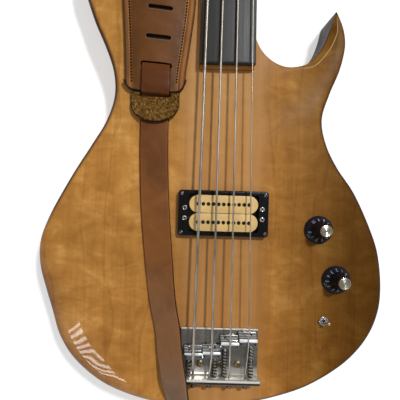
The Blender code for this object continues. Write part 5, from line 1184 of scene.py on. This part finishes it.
def jack_and_buttons():
    """Round jack flange with a knurled nut round its bore, and two turned strap buttons with screws."""
    knurl = np.array([4.9 + 0.25 * (k % 2) for k in range(72)]) * MM
    a = np.arange(72) * 2 * math.pi / 72
    ring = np.column_stack([knurl * np.cos(a), knurl * np.sin(a)])
    nut_shape = lofted([level(ring, 2.2 * MM), level(ring, 4.0 * MM), level(ring * 0.93, 4.4 * MM)])
    profile = rounded_profile([(5.3, -31), (5.3, 0.3), (8, 0.3), (8, 1.9), (7.2, 2.7), (5.0, 2.7)], 0.3) * MM
    shell = turned_tube(profile, 3.2 * MM, 48)
    place = (JACK_RIM, JACK_Y, RIM_Z)
    bore = lofted([level(circle(3.2 * MM, 40), -40 * MM), level(circle(3.2 * MM, 40), 9 * MM)])
    flange = piece("jack_flange", along(shell, "+X", place), "chrome", instead=("output_jack",), sharp=35)
    piece("jack_nut", along(nut_shape, "+X", place), "screw_metal", sharp=30,
          cuts=[along(bore, "+X", place)])
    button = rounded_profile([(6.3, 0.3), (6.6, 0.9), (6.4, 1.8), (3.5, 4.2), (3.4, 6), (3.5, 9.4),
                              (7.1, 11.4), (7.5, 12.2), (7.3, 13.4), (5.4, 14)], 0.8) * MM
    for name, axis, at in (("horn_strap_button", "+Y", (-104 * MM, HORN_RIM, RIM_Z)),
                           ("tail_strap_button", "-Y", (0, TAIL_RIM, RIM_Z))):
        well = lofted([level(circle(2.9 * MM, 32), 12.9 * MM), level(circle(3.7 * MM, 32), 15 * MM)])
        piece(f"{name}_turned", along(turned(button, 56), axis, at), "chrome", instead=(name,), sharp=40,
              cuts=[along(well, axis, at)])
        head, recess = cross_head(2.8 * MM, 1.2 * MM)
        screw = piece(f"{name}_screw", along(moved(head, (0, 0, 12.85 * MM)), axis, at), "screw_metal",
                      sharp=35)
        carve(screw, along(moved(recess, (0, 0, 12.85 * MM)), axis, at), "DIFFERENCE")
        shaded(screw.data, 35)
    return flange


def back():
    """Cavity cover with eased edges and six sunk screws, and the neck's small cover with its two screws."""
    centre = (107 * MM, 61 * MM)
    places = []
    for sx in (-1, 1):
        places.append((centre[0] + sx * 34 * MM, centre[1]))
        for sy in (-1, 1):
            corner = (31 - 26 + 29 * math.sqrt(0.5)) * MM
            high = (67 - 26 + 29 * math.sqrt(0.5)) * MM
            places.append((centre[0] + sx * corner, centre[1] + sy * high))
    wells = [lofted([level(circle(3.3 * MM, 24, p), -1 * MM), level(circle(2.2 * MM, 24, p), 1.2 * MM)])
             for p in places]
    piece("rear_cover", prism(round_rectangle(36.7 * MM, 72.7 * MM, 31.7 * MM, 24, centre), 0.02 * MM,
                              2.2 * MM, 0.5 * MM),
          "black_cover", instead=("cavity_cover",), cuts=wells, sharp=35)
    screws("cover_screws", places, 1.25 * MM, 2.6 * MM, 0.9 * MM, "screw_metal",
           (0.1, 0.8, 1.2, 0.5, 0.3, 1.4), down=True)
    start = SCALE_LENGTH + NUT_LENGTH + 16 * MM
    right = smooth_line([(11, 0), (11.5, 10), (8, 22), (0, 30)], 10) * MM
    outline = np.vstack([right, right[-2::-1] * (-1, 1)]) + (0, start)
    piece("truss_cover", prism(outline, HEAD_TOP + 0.3 * MM, HEAD_TOP + 2.3 * MM, 0, 0.5 * MM), "black_cover",
          instead=("truss_rod_cover",), sharp=35)
    screws("truss_cover_screws", [(s * 8 * MM, start + 6 * MM) for s in (-1, 1)], HEAD_TOP + 2.2 * MM,
           2.1 * MM, 1.2 * MM, "screw_metal", (0.4, 1.0))


# Tuners

PLATE_LOW = 26.2 * MM
WORM_Z = 21.6 * MM
LEAD = math.pi * MM
WORM_HALF = 6 * MM


def wheel():
    """Worm wheel of twenty trapezoid teeth: tip 10.8, root 8.9 mm, each ring
    turned further by the worm's lead.
    """
    pitch = 2 * math.pi / 20
    flank = math.tan(math.radians(20))
    tip = (0.2 * LEAD - 0.8 * MM * flank) / (10.8 * MM)
    root = (0.2 * LEAD + 1.1 * MM * flank) / (8.9 * MM)
    slope = LEAD / (2 * math.pi * 3.5 * MM) / (10 * MM)
    rings = []
    for z in np.linspace(-2.5, 2.5, 9) * MM:
        a = -math.pi / 2 + (np.arange(20)[:, None] + 0.5) * pitch + slope * z
        offsets = np.array([-root, -root * 0.92, -tip, -tip * 0.6, tip * 0.6, tip, root * 0.92, root])
        radii = np.array([8.9, 9.05, 10.6, 10.8, 10.8, 10.6, 9.05, 8.9]) * MM
        shrink = 0.35 * MM if abs(z) > 2.4 * MM else 0.0
        r = np.minimum(radii, radii - shrink)
        x = (r * np.cos(a + offsets)).ravel()
        y = (r * np.sin(a + offsets)).ravel()
        rings.append(np.column_stack([x, y, np.full(len(x), z)]))
    return lofted(rings)


def worm_radius(x, turn):
    """Thread radius: a wave of one lead per turn, cut flat at tip and root, fading out at both ends."""
    wave = 1.15 * np.cos(2 * math.pi * (x / LEAD - turn / (2 * math.pi)))
    ends = ease(WORM_HALF - abs(x), 0, 0.5 * LEAD)
    return (2.4 + (3.35 + 0.95 * np.clip(wave - 0.15, -1, 1) - 2.4) * ends) * MM


def key(side, x):
    """Shaft with its worm along X, and a crowned clover-leaf paddle at its outer end."""
    turns = np.arange(40) * 2 * math.pi / 40
    outer = 49 * MM - abs(x)
    stations = [-10.5 * MM, -6.4 * MM, *np.linspace(-WORM_HALF, WORM_HALF, 97), 6.4 * MM, outer - 3 * MM,
                outer - 2.9 * MM, outer + 0.6 * MM, outer + 4 * MM]
    rings = []
    for k, s in enumerate(stations):
        collar = 3.1 * MM if len(stations) - 3 <= k <= len(stations) - 2 else 2.2 * MM
        radius = worm_radius(side * s, turns) if abs(s) <= WORM_HALF else np.full(40, collar)
        rings.append(np.column_stack([np.full(40, side * s), radius * np.cos(turns), radius * np.sin(turns)]))
    a = np.arange(72) * 2 * math.pi / 72
    lobes = 1 + 0.05 * np.cos(2 * (a - math.pi)) + 0.045 * np.cos(4 * a)
    oval = np.column_stack([10 * MM * np.sign(np.cos(a)) * abs(np.cos(a)) ** 0.8 * lobes,
                            12 * MM * np.sign(np.sin(a)) * abs(np.sin(a)) ** 0.8 * lobes])
    oval = np.clip(oval, (-10 * MM, -12 * MM), (10 * MM, 12 * MM))
    layers = [(0.5, -3.0), (0.8, -2.75), (0.93, -2.2), (0.985, -1.5), (1, -0.8), (1, 0.8), (0.985, 1.5),
              (0.93, 2.2), (0.8, 2.75), (0.5, 3.0)]
    paddle = lofted([level(oval * s + (side * (outer + 10 * MM), 0), z * MM) for s, z in layers])
    return joined([lofted(rings), paddle])


def tuners():
    """Each tuner: an arched ear extruded on both sides of its plate, and
    turned profiles about post and key.
    """
    for name, (x, y) in zip(STRING_NAMES, POSTS):
        side = -1 if x < 0 else 1
        worm_y = y - 13.5 * MM
        outline = round_rectangle(15 * MM, 18 * MM, 2.5 * MM, 6, (x, y - 6 * MM))
        a = np.linspace(math.pi, 2 * math.pi, 15)
        arch = np.column_stack([worm_y + 4.2 * MM * np.cos(a), WORM_Z + 4.0 * MM * np.sin(a)])
        arch = np.vstack([arch, [(worm_y + 4.2 * MM, 26.5 * MM), (worm_y - 4.2 * MM, 26.5 * MM)]])
        ears = []
        for s in (-1, 1):
            low, high = sorted((x + s * 7.2 * MM, x + s * 9.0 * MM))
            ears.append(lofted([np.column_stack([np.full(len(arch), ex), arch]) for ex in (low, high)]))
        shaft = along(lofted([level(circle(2.5 * MM, 28), -12 * MM),
                              level(circle(2.5 * MM, 28), 12 * MM)]), "+X",
                      (x, worm_y, WORM_Z))
        post_hole = lofted([level(circle(5.4 * MM, 36, (x, y)), 24 * MM),
                            level(circle(5.4 * MM, 36, (x, y)), 30 * MM)])
        plate = piece(f"tuner_plate_{name}", prism(outline, PLATE_LOW, 27.7 * MM, 0.35 * MM), "chrome",
                      instead=(f"tuner_base_{name}",), unions=ears, cuts=[post_hole], sharp=35)
        carve(plate, shaft, "DIFFERENCE")
        shaded(plate.data, 35)
        corners = [(x + sx * 12.2 * MM, y - 6 * MM + sy * 15.2 * MM) for sx in (-1, 1) for sy in (-1, 1)]
        screws(f"tuner_screws_{name}", corners, PLATE_LOW + 0.05 * MM, 2.2 * MM, 1.4 * MM, "screw_metal",
               (0.2, 0.7, 1.2, 0.4), down=True)
        post = rounded_profile([
            (0.5, 16.9), (3.2, 16.9), (3.8, 17.7), (3.8, 21.6), (5.1, 21.6), (5.1, 44.9), (6.6, 44.9),
            (6.6, 45.8), (5.7, 46.5),
            (5.5, 51), (5.7, 55.9), (6.6, 56.9), (6.6, 57.9), (5.9, 58.5), (2.2, 58.5), (2.0, 57.9),
            (0.5, 57.9)], 0.5) * MM
        slot = prism(round_rectangle(10 * MM, 1.4 * MM, 0.6 * MM, 4, (x, y)), 56.3 * MM, 62 * MM)
        piece(f"string_post_{name}", moved(turned(post, 48), (x, y, 0)), "chrome",
              body=f"tuner_post_{name}", instead=(f"tuner_post_{name}",), sharp=35, cuts=[slot])
        piece(f"worm_wheel_{name}", moved(wheel(), (x, y, WORM_Z)), "screw_metal", body=f"tuner_post_{name}",
              sharp=30)
        screw_end = rounded_profile([(0.2, 0), (2.7, 0), (2.7, 0.8), (0.2, 1.3)], 0.3) * MM
        screw_end = along(turned(screw_end, 28), "-Z")
        piece(f"wheel_screw_{name}", moved(screw_end, (x, y, 16.95 * MM)), "screw_metal",
              body=f"tuner_post_{name}")
        collar = rounded_profile([(7.4, 36), (7.4, 43.3), (9.5, 43.3), (9.2, 44.5), (7.6, 44.6)], 0.3) * MM
        piece(f"post_bushing_{name}", moved(turned_tube(collar, 5.5 * MM, 48), (x, y, 0)), "chrome",
              instead=(f"tuner_bushing_{name}",), sharp=35)
        piece(f"tuning_key_{name}", moved(key(side, x), (x, worm_y, WORM_Z)), "chrome",
              body=f"tuner_key_{name}", instead=(f"tuner_key_{name}",), sharp=50)


# Strap

TAIL_ROUTE = (
    ((11, -80.6, 16), (0, -1, 0)), ((0, -80.6, 21), (0, -1, 0)), ((-12, -81.2, 27.5), (-0.05, -1, 0.05)),
    ((-25, -80.5, 38), (-0.3, -0.85, 0.35)), ((-35, -74.5, 50), (-0.5, -0.5, 0.65)),
    ((-40.3, -60.1, 57.2), (-0.6, -0.15, 0.75)), ((-44.3, -41.8, 58.6), (-0.53, 0, 0.85)),
    ((-49.3, -14.6, 53.6), (-0.5, 0, 0.86)), ((-51.7, 4.2, 50.8), (-0.47, 0, 0.88)),
    ((-57.5, 33, 49.6), (-0.4, 0, 0.91)), ((-63.4, 82, 46.8), (-0.2, 0, 0.98)),
    ((-67.9, 131.4, 44.0), (0, 0, 1)), ((-70.2, 181, 43.7), (0, 0, 1)), ((-70.4, 215, 43.7), (0, 0, 1)),
    ((-70.3, 226, 43.7), (0, 0, 1)), ((-70.3, 232.3, 43.7), (0, -0.15, 1)),
    ((-70.2, 235.6, 44.9), (0, -0.75, 0.65)),
    ((-70.2, 236.4, 47.4), (0, -1, 0.1)), ((-70.1, 237.3, 50), (0, -0.8, 0.6)),
    ((-70, 240.4, 51.3), (0, -0.15, 1)),
    ((-70, 250, 51.5), (0, 0, 1)), ((-70, 258.5, 51.4), (0, 0.1, 1)), ((-70, 264.6, 48.2), (0, 0.75, 0.65)),
)
PAD_ROUTE = (
    ((-70.6, 230, 45.9), 57.6, 7), ((-70.7, 247, 46), 59.4, 7), ((-70.4, 264.6, 46), 61.7, 7),
    ((-69.3, 290, 46), 66.2, 7), ((-68.6, 327.4, 46), 72.4, 7), ((-70, 370, 46.2), 75, 7),
    ((-71.5, 415, 46.4), 76, 7), ((-72.5, 448, 46.2), 76, 7), ((-73.5, 475, 38), 76, 7),
    ((-74.5, 500, 25), 76, 7), ((-76, 530, 17.5), 76, 7), ((-78, 558, 21), 75, 7),
    ((-80, 582, 29), 74, 7), ((-82, 598, 27.5), 73, 7), ((-83.5, 605, 17), 72, 7),
    ((-85, 597, 7.4), 70, 7), ((-87, 576, 4.4), 68, 7), ((-91, 540, 4.2), 62, 6.6),
    ((-96, 500, 4), 52, 6), ((-100, 474, 4.2), 42, 5), ((-102.6, 458, 5.4), 36, 4),
    ((-103.4, 449, 8), 33, 3.2),
    ((-103.9, 442.8, 11.3), 31, 3), ((-104, 440, 18), 30, 3), ((-104, 440, 26), 29, 3),
    ((-104, 440, 33), 28, 3),
)
PAD_END = (
    (-101.6, 249.3), (-100.4, 247.2), (-97.9, 243.6), (-94.4, 240.9), (-88, 239.6), (-79, 239.1),
    (-70, 238.9),
    (-61, 238.5), (-52, 238.3), (-46.8, 239.5), (-43.4, 243.2), (-41.2, 248.6), (-40.6, 250.3),
)
ROLLS = (6.9 * MM, 4.7 * MM)


def frames(centres, normals):
    """Direction of a strip's run, its side and its face at each station, square to one another."""
    t = np.gradient(centres, axis=0)
    t /= np.linalg.norm(t, axis=1)[:, None]
    n = normals - t * (normals * t).sum(axis=1)[:, None]
    n /= np.linalg.norm(n, axis=1)[:, None]
    return t, np.cross(t, n), n


def run_length(line):
    """Distance along the line at each station: the steps up to it, added up from 0."""
    return np.concatenate([[0], np.cumsum(np.linalg.norm(np.diff(line[:, :3], axis=0), axis=1))])


def strip(centres, normals, sections):
    """Each section's (across, out) pairs set on the strip's side and face. UV
    is across and along, in metres.
    """
    _, s, n = frames(centres, normals)
    rings = centres[:, None] + s[:, None] * sections[..., 0:1] + n[:, None] * sections[..., 1:2]
    uv = np.stack([sections[..., 0], np.broadcast_to(run_length(centres)[:, None], sections.shape[:2])],
                  axis=-1)
    return lofted(rings), uv.reshape(-1, 2)


def strap_tail():
    """Flat leather strip: a rounded 28.5 by 2.4 mm section, crowned by 0.25 mm, carried along its route."""
    line = spaced(smooth_line([(*p, *n) for p, n in TAIL_ROUTE], 12), 300)
    centres, normals = line[:, :3] * MM, line[:, 3:]
    half, thick = 14.25 * MM, 1.2 * MM
    a = np.linspace(-math.pi / 2, math.pi / 2, 7)
    side = np.column_stack([half - 1.0 * MM + 1.0 * MM * np.cos(a), thick * np.sin(a)])
    across = np.linspace(half - 2 * MM, -half + 2 * MM, 15)
    top = np.column_stack([across, thick + 0.25 * MM * (1 - (across / half) ** 2)])
    section = np.vstack([side, top, side[::-1] * (-1, 1),
                         np.column_stack([across[::-1], np.full(15, -thick)])])
    shape, uv = strip(centres, normals, np.broadcast_to(section, (len(line), *section.shape)))
    v = shape[0]
    v[:, 1] -= 0.08 * (v[:, 0] + 70 * MM) * ease(v[:, 1], 228 * MM, 238 * MM) * (v[:, 2] > 30 * MM)
    hole = along(lofted([level(circle(3.9 * MM, 28), -6 * MM), level(circle(3.9 * MM, 28), 20 * MM)]), "-Y",
                 (0, TAIL_RIM, RIM_Z))
    tail = piece("leather_tail", shape, "tail_leather", instead=("strap_tail",), sharp=50, uv=uv, cuts=[hole])
    return tail


def pad_section(width, thick):
    """Rolled edges, a step down to the sewn panel just inside them, a crowned middle and a flat underside."""
    k = thick / (7 * MM)
    scale = min(1.0, width / (60 * MM))
    half = width / 2
    right, left = (pad_side(half, roll * scale, k, scale) for roll in ROLLS)
    top = np.vstack([right, [(0, 3.5 * MM * k)], left[::-1] * (-1, 1)])
    e = np.linspace(0, 1, 7)[1:]
    under = np.column_stack([-half + 5 * MM * e ** 2 * scale, -3.5 * MM * k * np.sin(e * math.pi / 2)])
    flat = np.linspace(-half + 8 * MM, half - 8 * MM, 7)
    low = np.vstack([under, np.column_stack([flat, np.full(7, -3.5 * MM * k)]), under[::-1] * (-1, 1)])
    return np.vstack([top, low])


def pad_side(half, roll, k, scale):
    """Half of the section's top: the roll rises as a sine to a power less than
    one, the crown as a quarter sine.
    """
    d = np.concatenate([np.linspace(0, 1, 15) * roll,
                        roll + np.array([0.12, 0.3, 0.55, 0.9, 1.6, 2.6]) * MM * scale])
    rise = 2.5 * MM * k * np.sin(math.pi * np.clip(d / roll, 0, 1)) ** 0.55
    panel = (1.75 + 0.35 * ease(d, roll, roll + 2.2 * MM)) * MM * k
    rise = np.where(d < roll * 0.985, np.where(d > roll * 0.8, np.maximum(rise, 1.35 * MM * k), rise), panel)
    rise = np.where(abs(d - roll) < 0.01 * MM, 1.3 * MM * k, rise)
    inner = np.linspace(half - d[-1], 0, 10)[1:-1]
    share = 1 - inner / (half - d[-1])
    crown = (2.1 + 1.4 * np.sin(share * math.pi / 2) ** 0.9) * MM * k
    return np.column_stack([np.concatenate([half - d, inner]), np.concatenate([rise, crown])])


def oval_slot(length, width, turn, centre, low, high):
    """Upright slot with round ends."""
    shape = stadium(length / 2, width / 2, 10, centre, turn)
    return lofted([level(shape, low), level(shape, high)])


def strap_pad():
    """Padded strap: the section above carried along its route, over the horn, round
    a fold and back to the button.
    """
    line = spaced(smooth_line([(*p, w, h) for p, w, h in PAD_ROUTE], 10), 420)
    centres, widths, thicks = line[:, :3] * MM, line[:, 3] * MM, line[:, 4] * MM
    run = np.gradient(centres, axis=0)
    normals = np.column_stack([np.zeros(len(run)), -run[:, 2], run[:, 1]])
    sections = np.array([pad_section(w, h) for w, h in zip(widths, thicks)])
    along_run = run_length(centres)[:, None]
    ripple = np.sin(sections[..., 0] / MM * 0.21 + along_run / MM
                    * 0.13) * np.sin(along_run / MM * 0.071 + 1.3)
    sections[..., 1] += 0.16 * MM * ripple * (sections[..., 1] > 1.8 * MM)
    shape, uv = strip(centres, normals, sections)
    half = np.repeat(widths / 2, sections.shape[1])
    out = sections[..., 1].ravel()
    # Distance in from each edge, as the pad bands read it. The right side is scaled to its roll. The left
    # side is squeezed so that its roll passes quickly over the bands' painted highlight and keeps their
    # painted shade, with the highlight line just inside its panel's edge.
    reach = (half - abs(uv[:, 0])) / MM
    reach = np.where(uv[:, 0] > 0, reach * 6.2 / 6.9,
                     np.interp(reach, [0, 3.9, 4.7, 30], [0, 1.6, 6.25, 31.55]))
    edge = np.where(out > -0.01 * MM, reach, -1) * MM
    uv = np.column_stack([edge, uv[:, 1]])
    hole = along(lofted([level(circle(3.9 * MM, 28), -6 * MM), level(circle(3.9 * MM, 28), 20 * MM)]), "+Y",
                 (-104 * MM, HORN_RIM, RIM_Z))
    spare = (((-68.4 * MM, 291.7 * MM), -0.085), ((-67.1 * MM, 320.7 * MM), -0.11))
    slots = [oval_slot(31.4 * MM, 5.6 * MM, -0.08, (-69.9 * MM, 264.3 * MM), 45 * MM, 56 * MM)]
    slots += [oval_slot(25 * MM, 4.4 * MM, turn, c, 45.5 * MM, 56 * MM) for c, turn in spare]
    end = smooth_line(PAD_END, 5)
    away = np.vstack([[(-115, 222), (-28, 222), (-28, 252)], end[::-1], [(-115, 252)]]) * MM
    pad = piece("padded_strap", shape, "pad_leather", instead=("strap_pad",), sharp=60, uv=uv,
                cuts=[hole, prism(away, 36 * MM, 62 * MM), *slots])
    # Painted shade: near-black sheets at the floors of the slots stand for the shade inside them.
    slot_shade_sheets = [oval_slot(24.6 * MM, 4 * MM, turn, c, 45.6 * MM, 45.9 * MM) for c, turn in spare]
    slot_shade_sheets.append(oval_slot(31 * MM, 5.2 * MM, -0.08, (-69.9 * MM, 264.3 * MM), 45.05 * MM, 45.3 * MM))
    piece("slot_shadows", joined(slot_shade_sheets), "edge_paint_and_slot_shade")
    seams(centres, normals, widths, thicks)
    outer = end * MM
    run = np.gradient(outer, axis=0)
    run /= np.linalg.norm(run, axis=1)[:, None]
    square = np.column_stack([run[:, 1], -run[:, 0]])
    rings = []
    for a in np.linspace(0, 2 * math.pi, 14, endpoint=False):
        c, t = math.copysign(abs(math.cos(a)) ** 0.5,
                             math.cos(a)), math.copysign(abs(math.sin(a)) ** 0.5, math.sin(a))
        rings.append(np.column_stack([outer + square * (0.25 + 0.75 * c) * MM,
                                      np.full(len(outer), (45.9 + 3.2 * t) * MM)]))
    piece("pad_end_edge", lofted(np.array(rings).transpose(1, 0, 2)), "edge_paint_and_slot_shade", sharp=50)
    lips = []
    for c, turn in spare:
        lip = stadium(12.9 * MM, 2.6 * MM, 12, c, turn)
        lip = lip[np.argsort(lip @ (math.cos(turn), math.sin(turn)))]
        lip = lip[(lip - c) @ (-math.sin(turn), math.cos(turn)) < 0.4 * MM]
        lips.append(tube(np.column_stack([lip, np.full(len(lip), 49.15 * MM)]), 0.35 * MM, 8))
    piece("slot_lips", joined(lips), "worn_edge", sharp=60)


def seams(centres, normals, widths, thicks):
    """Two rows of short stitches in the seam grooves, one small spindle each, at an even pitch."""
    t, s, n = frames(centres, normals)
    run = run_length(centres)
    wide = widths > 56 * MM
    begin, end = run[wide][0] + 18 * MM, run[wide][-1]
    places = np.arange(begin, end, 2.9 * MM)
    a = np.arange(5) * 2 * math.pi / 5
    rings = np.array([[(x, r * math.cos(b), r * math.sin(b)) for b in a]
                      for x, r in ((-0.85, 0.4), (-0.6, 0.8), (0.6, 0.8), (0.85, 0.4))]) * MM
    shapes = []
    for place in places:
        at = [np.array([np.interp(place, run, v[:, k]) for k in range(3)]) for v in (centres, t, s, n)]
        centre, forward, across, out = at
        half = np.interp(place, run, widths) / 2
        k = np.interp(place, run, thicks) / (7 * MM)
        for way in (-1, 1):
            seam = ROLLS[way < 0] + 1.75 * MM
            spot = centre + across * way * (half - seam) + out * 2.1 * MM * k
            points = (spot + rings[..., 0:1] * (forward + across * 0.25 * way) + rings[..., 1:2] * across
                      + rings[..., 2:3] * out)
            shapes.append(lofted(points))
    piece("pad_stitches", joined(shapes), "strap_thread", sharp=60)


def strap_flap():
    """Suede end: a D outline with a fringed edge and a rounded rim, lifted a little along its lower side.
    Its nap is raised by a few short waves. UV is the distance in from the rim and the height.
    """
    a = np.linspace(0, -math.pi, 61)
    lower = np.column_stack([-70.3 + 24.2 * np.cos(a), 226 + 17.7 * np.sin(a)])
    outline = np.vstack([[(-46.3, 237.9)], lower, [(-94.3, 237.9)]])[::-1]
    outline = spaced(np.vstack([outline, outline[:1]]), 241)[:-1] * MM
    k = np.arange(240)
    fringe = 0.16 * MM * np.sin(k
                                * 0.9) * np.sin(k * 0.23) + 0.1 * MM * np.sin(k * 2.3 + 1) * np.sin(k * 0.61)
    outline = outline + inward(outline) * fringe[:, None]
    centre = np.array([-70.3, 227]) * MM
    rings, uv = [], []
    for inset, z in ((6, 45.3), (0.5, 45.3), (0.15, 45.5), (0, 45.9), (0.12, 46.4), (0.4, 46.85), (0.9, 47.2),
                     (1.6, 47.3), (3, 47.3), (6, 47.3), (9, 47.3), (12, 47.3), (15, 47.3)):
        pull = centre - outline
        reach = np.linalg.norm(pull, axis=1)[:, None]
        ring = outline + pull / reach * np.minimum(inset * MM, reach * 0.9)
        x, y = ring.T / MM
        nap = 0.14 * np.sin(x * 1.9
                            + y) * np.sin(y * 2.3) + 0.1 * np.sin(x * 3.7 - y * 1.3) * np.sin(y * 3.1 + x)
        lift = 2.6 * ease(-y, -226, -208.3)
        rings.append(level(ring, z * MM)
                     + np.column_stack([np.zeros((240, 2)), (nap * (z > 47.1) + lift) * MM]))
        uv.append(np.column_stack([np.full(240, inset * MM if z > 46 else 0.0), np.full(240, z * MM)]))
    slot = box((-85.4 * MM, 233 * MM, 40 * MM), (-54.9 * MM, 240 * MM, 55 * MM))
    flap = piece("suede_flap", lofted(rings), "flap_suede", instead=("strap_flap",), sharp=60,
                 uv=np.vstack(uv), cuts=[slot])


# Studio


def daylight(tree, colour, seen):
    """The colour as it is for light on the piece, and another one where the
    camera, gloss or glass looks at it.
    """
    path = tree.nodes.new("ShaderNodeLightPath")
    total = path.outputs["Is Camera Ray"]
    for ray in ("Is Glossy Ray", "Is Transmission Ray"):
        either = tree.nodes.new("ShaderNodeMath")
        either.operation = "MAXIMUM"
        tree.links.new(total, either.inputs[0])
        tree.links.new(path.outputs[ray], either.inputs[1])
        total = either.outputs[0]
    choice = tree.nodes.new("ShaderNodeMix")
    choice.data_type = "RGBA"
    tree.links.new(total, choice.inputs[0])
    for socket, value in ((choice.inputs[6], colour), (choice.inputs[7], seen)):
        if isinstance(value, bpy.types.NodeSocket):
            tree.links.new(value, socket)
        else:
            socket.default_value = (value, value, value, 1)
    return choice.outputs[2]


def studio():
    """White floor that keeps the shadows, a soft lamp from the upper right, and at the lower left a
    window with slats, which shows only as a reflection. The room is white round the horizon and grey
    overhead, by a ramp over the height of the direction.
    """
    size = 6.0
    floor = bpy.data.meshes.new("floor")
    low = -0.0006
    floor.from_pydata([(-size, -size, low), (size, -size, low), (size, size, low), (-size, size, low)], [],
                      [(0, 1, 2, 3)])
    ground = bpy.data.objects.new("floor", floor)
    bpy.context.scene.collection.objects.link(ground)
    look = bpy.data.materials.new("studio_floor")
    look.use_nodes = True
    tree = look.node_tree
    shader = tree.nodes["Principled BSDF"]
    shader.inputs["Base Color"].default_value = (0.62, 0.62, 0.62, 1)
    shader.inputs["Roughness"].default_value = 0.9
    shader.inputs["Specular IOR Level"].default_value = 0.0
    tree.links.new(daylight(tree, 0.0, 0.5), shader.inputs["Emission Color"])
    shader.inputs["Emission Strength"].default_value = 1.0
    floor.materials.append(look)
    window = np.array((-0.6, -0.63, 0.8))
    down = np.array((0.452, -0.828, -0.331))
    over = np.cross(window - (-0.03, 0.1, 0.04), down)
    over = over / np.linalg.norm(over)
    lamps = [("key", "DISK", (0.84, 1.36, 2.44), (0.28, 0.28), 56.0, (1, 0, 0))]
    for k in range(8):
        middle = window + down * 0.056 * (k - 3.8)
        lamps.append((f"slat_{k}", "RECTANGLE", middle, (0.42, 0.026), 0.6, over * 0.4 - down * 0.1))
    for name, shape, place, widths, power, along_lamp in lamps:
        light = bpy.data.lights.new(name, "AREA")
        light.shape = shape
        light.size, light.size_y = widths
        light.energy = power
        lamp = bpy.data.objects.new(name, light)
        out = np.array(place) - (-0.03, 0.1, 0.04)
        out = out / np.linalg.norm(out)
        side = np.array(along_lamp) - out * (np.array(along_lamp) @ out)
        side = side / np.linalg.norm(side)
        turn = Matrix(np.column_stack([side, np.cross(out, side), out]).tolist())
        lamp.rotation_euler = turn.to_euler()
        lamp.location = place
        lamp.visible_diffuse = name == "key"
        bpy.context.scene.collection.objects.link(lamp)
    world = bpy.data.worlds.new("studio")
    world.use_nodes = True
    tree = world.node_tree
    sky = tree.nodes["Background"]
    where = tree.nodes.new("ShaderNodeTexCoord")
    height = tree.nodes.new("ShaderNodeSeparateXYZ")
    tree.links.new(where.outputs["Generated"], height.inputs[0])
    ramp = tree.nodes.new("ShaderNodeValToRGB")
    ramp.color_ramp.interpolation = "EASE"
    ramp.color_ramp.elements[0].position = 0.3
    ramp.color_ramp.elements[0].color = (1, 1, 1, 1)
    ramp.color_ramp.elements[1].position = 0.85
    ramp.color_ramp.elements[1].color = (0.16, 0.16, 0.16, 1)
    tree.links.new(height.outputs["Z"], ramp.inputs["Fac"])
    tree.links.new(daylight(tree, 0.42, ramp.outputs["Color"]), sky.inputs["Color"])
    sky.inputs["Strength"].default_value = 1.0
    bpy.context.scene.world = world
    bpy.context.scene.view_settings.view_transform = "Standard"


def camera():
    """Looks straight down on the bass, turned a little, with the middle of its
    view shifted as in the photograph.
    """
    lens = bpy.data.cameras.new("camera")
    lens.lens = 36
    lens.sensor_width = 36
    lens.shift_x = 0.07
    lens.shift_y = 0.0125
    lens.clip_start = 0.01
    view = bpy.data.objects.new("camera", lens)
    view.location = (-0.0507, 0.1268, 0.442)
    view.rotation_euler = (0, 0, math.radians(1.56))
    bpy.context.scene.collection.objects.link(view)
    bpy.context.scene.camera = view


camera()
studio()
body()
neck()
fingerboard()
nut()
strings()
bridge()
for i in range(4):
    saddle(i)
    intonation(i)
pickup()
controls()
jack_and_buttons()
back()
tuners()
strap_flap()
strap_tail()
strap_pad()
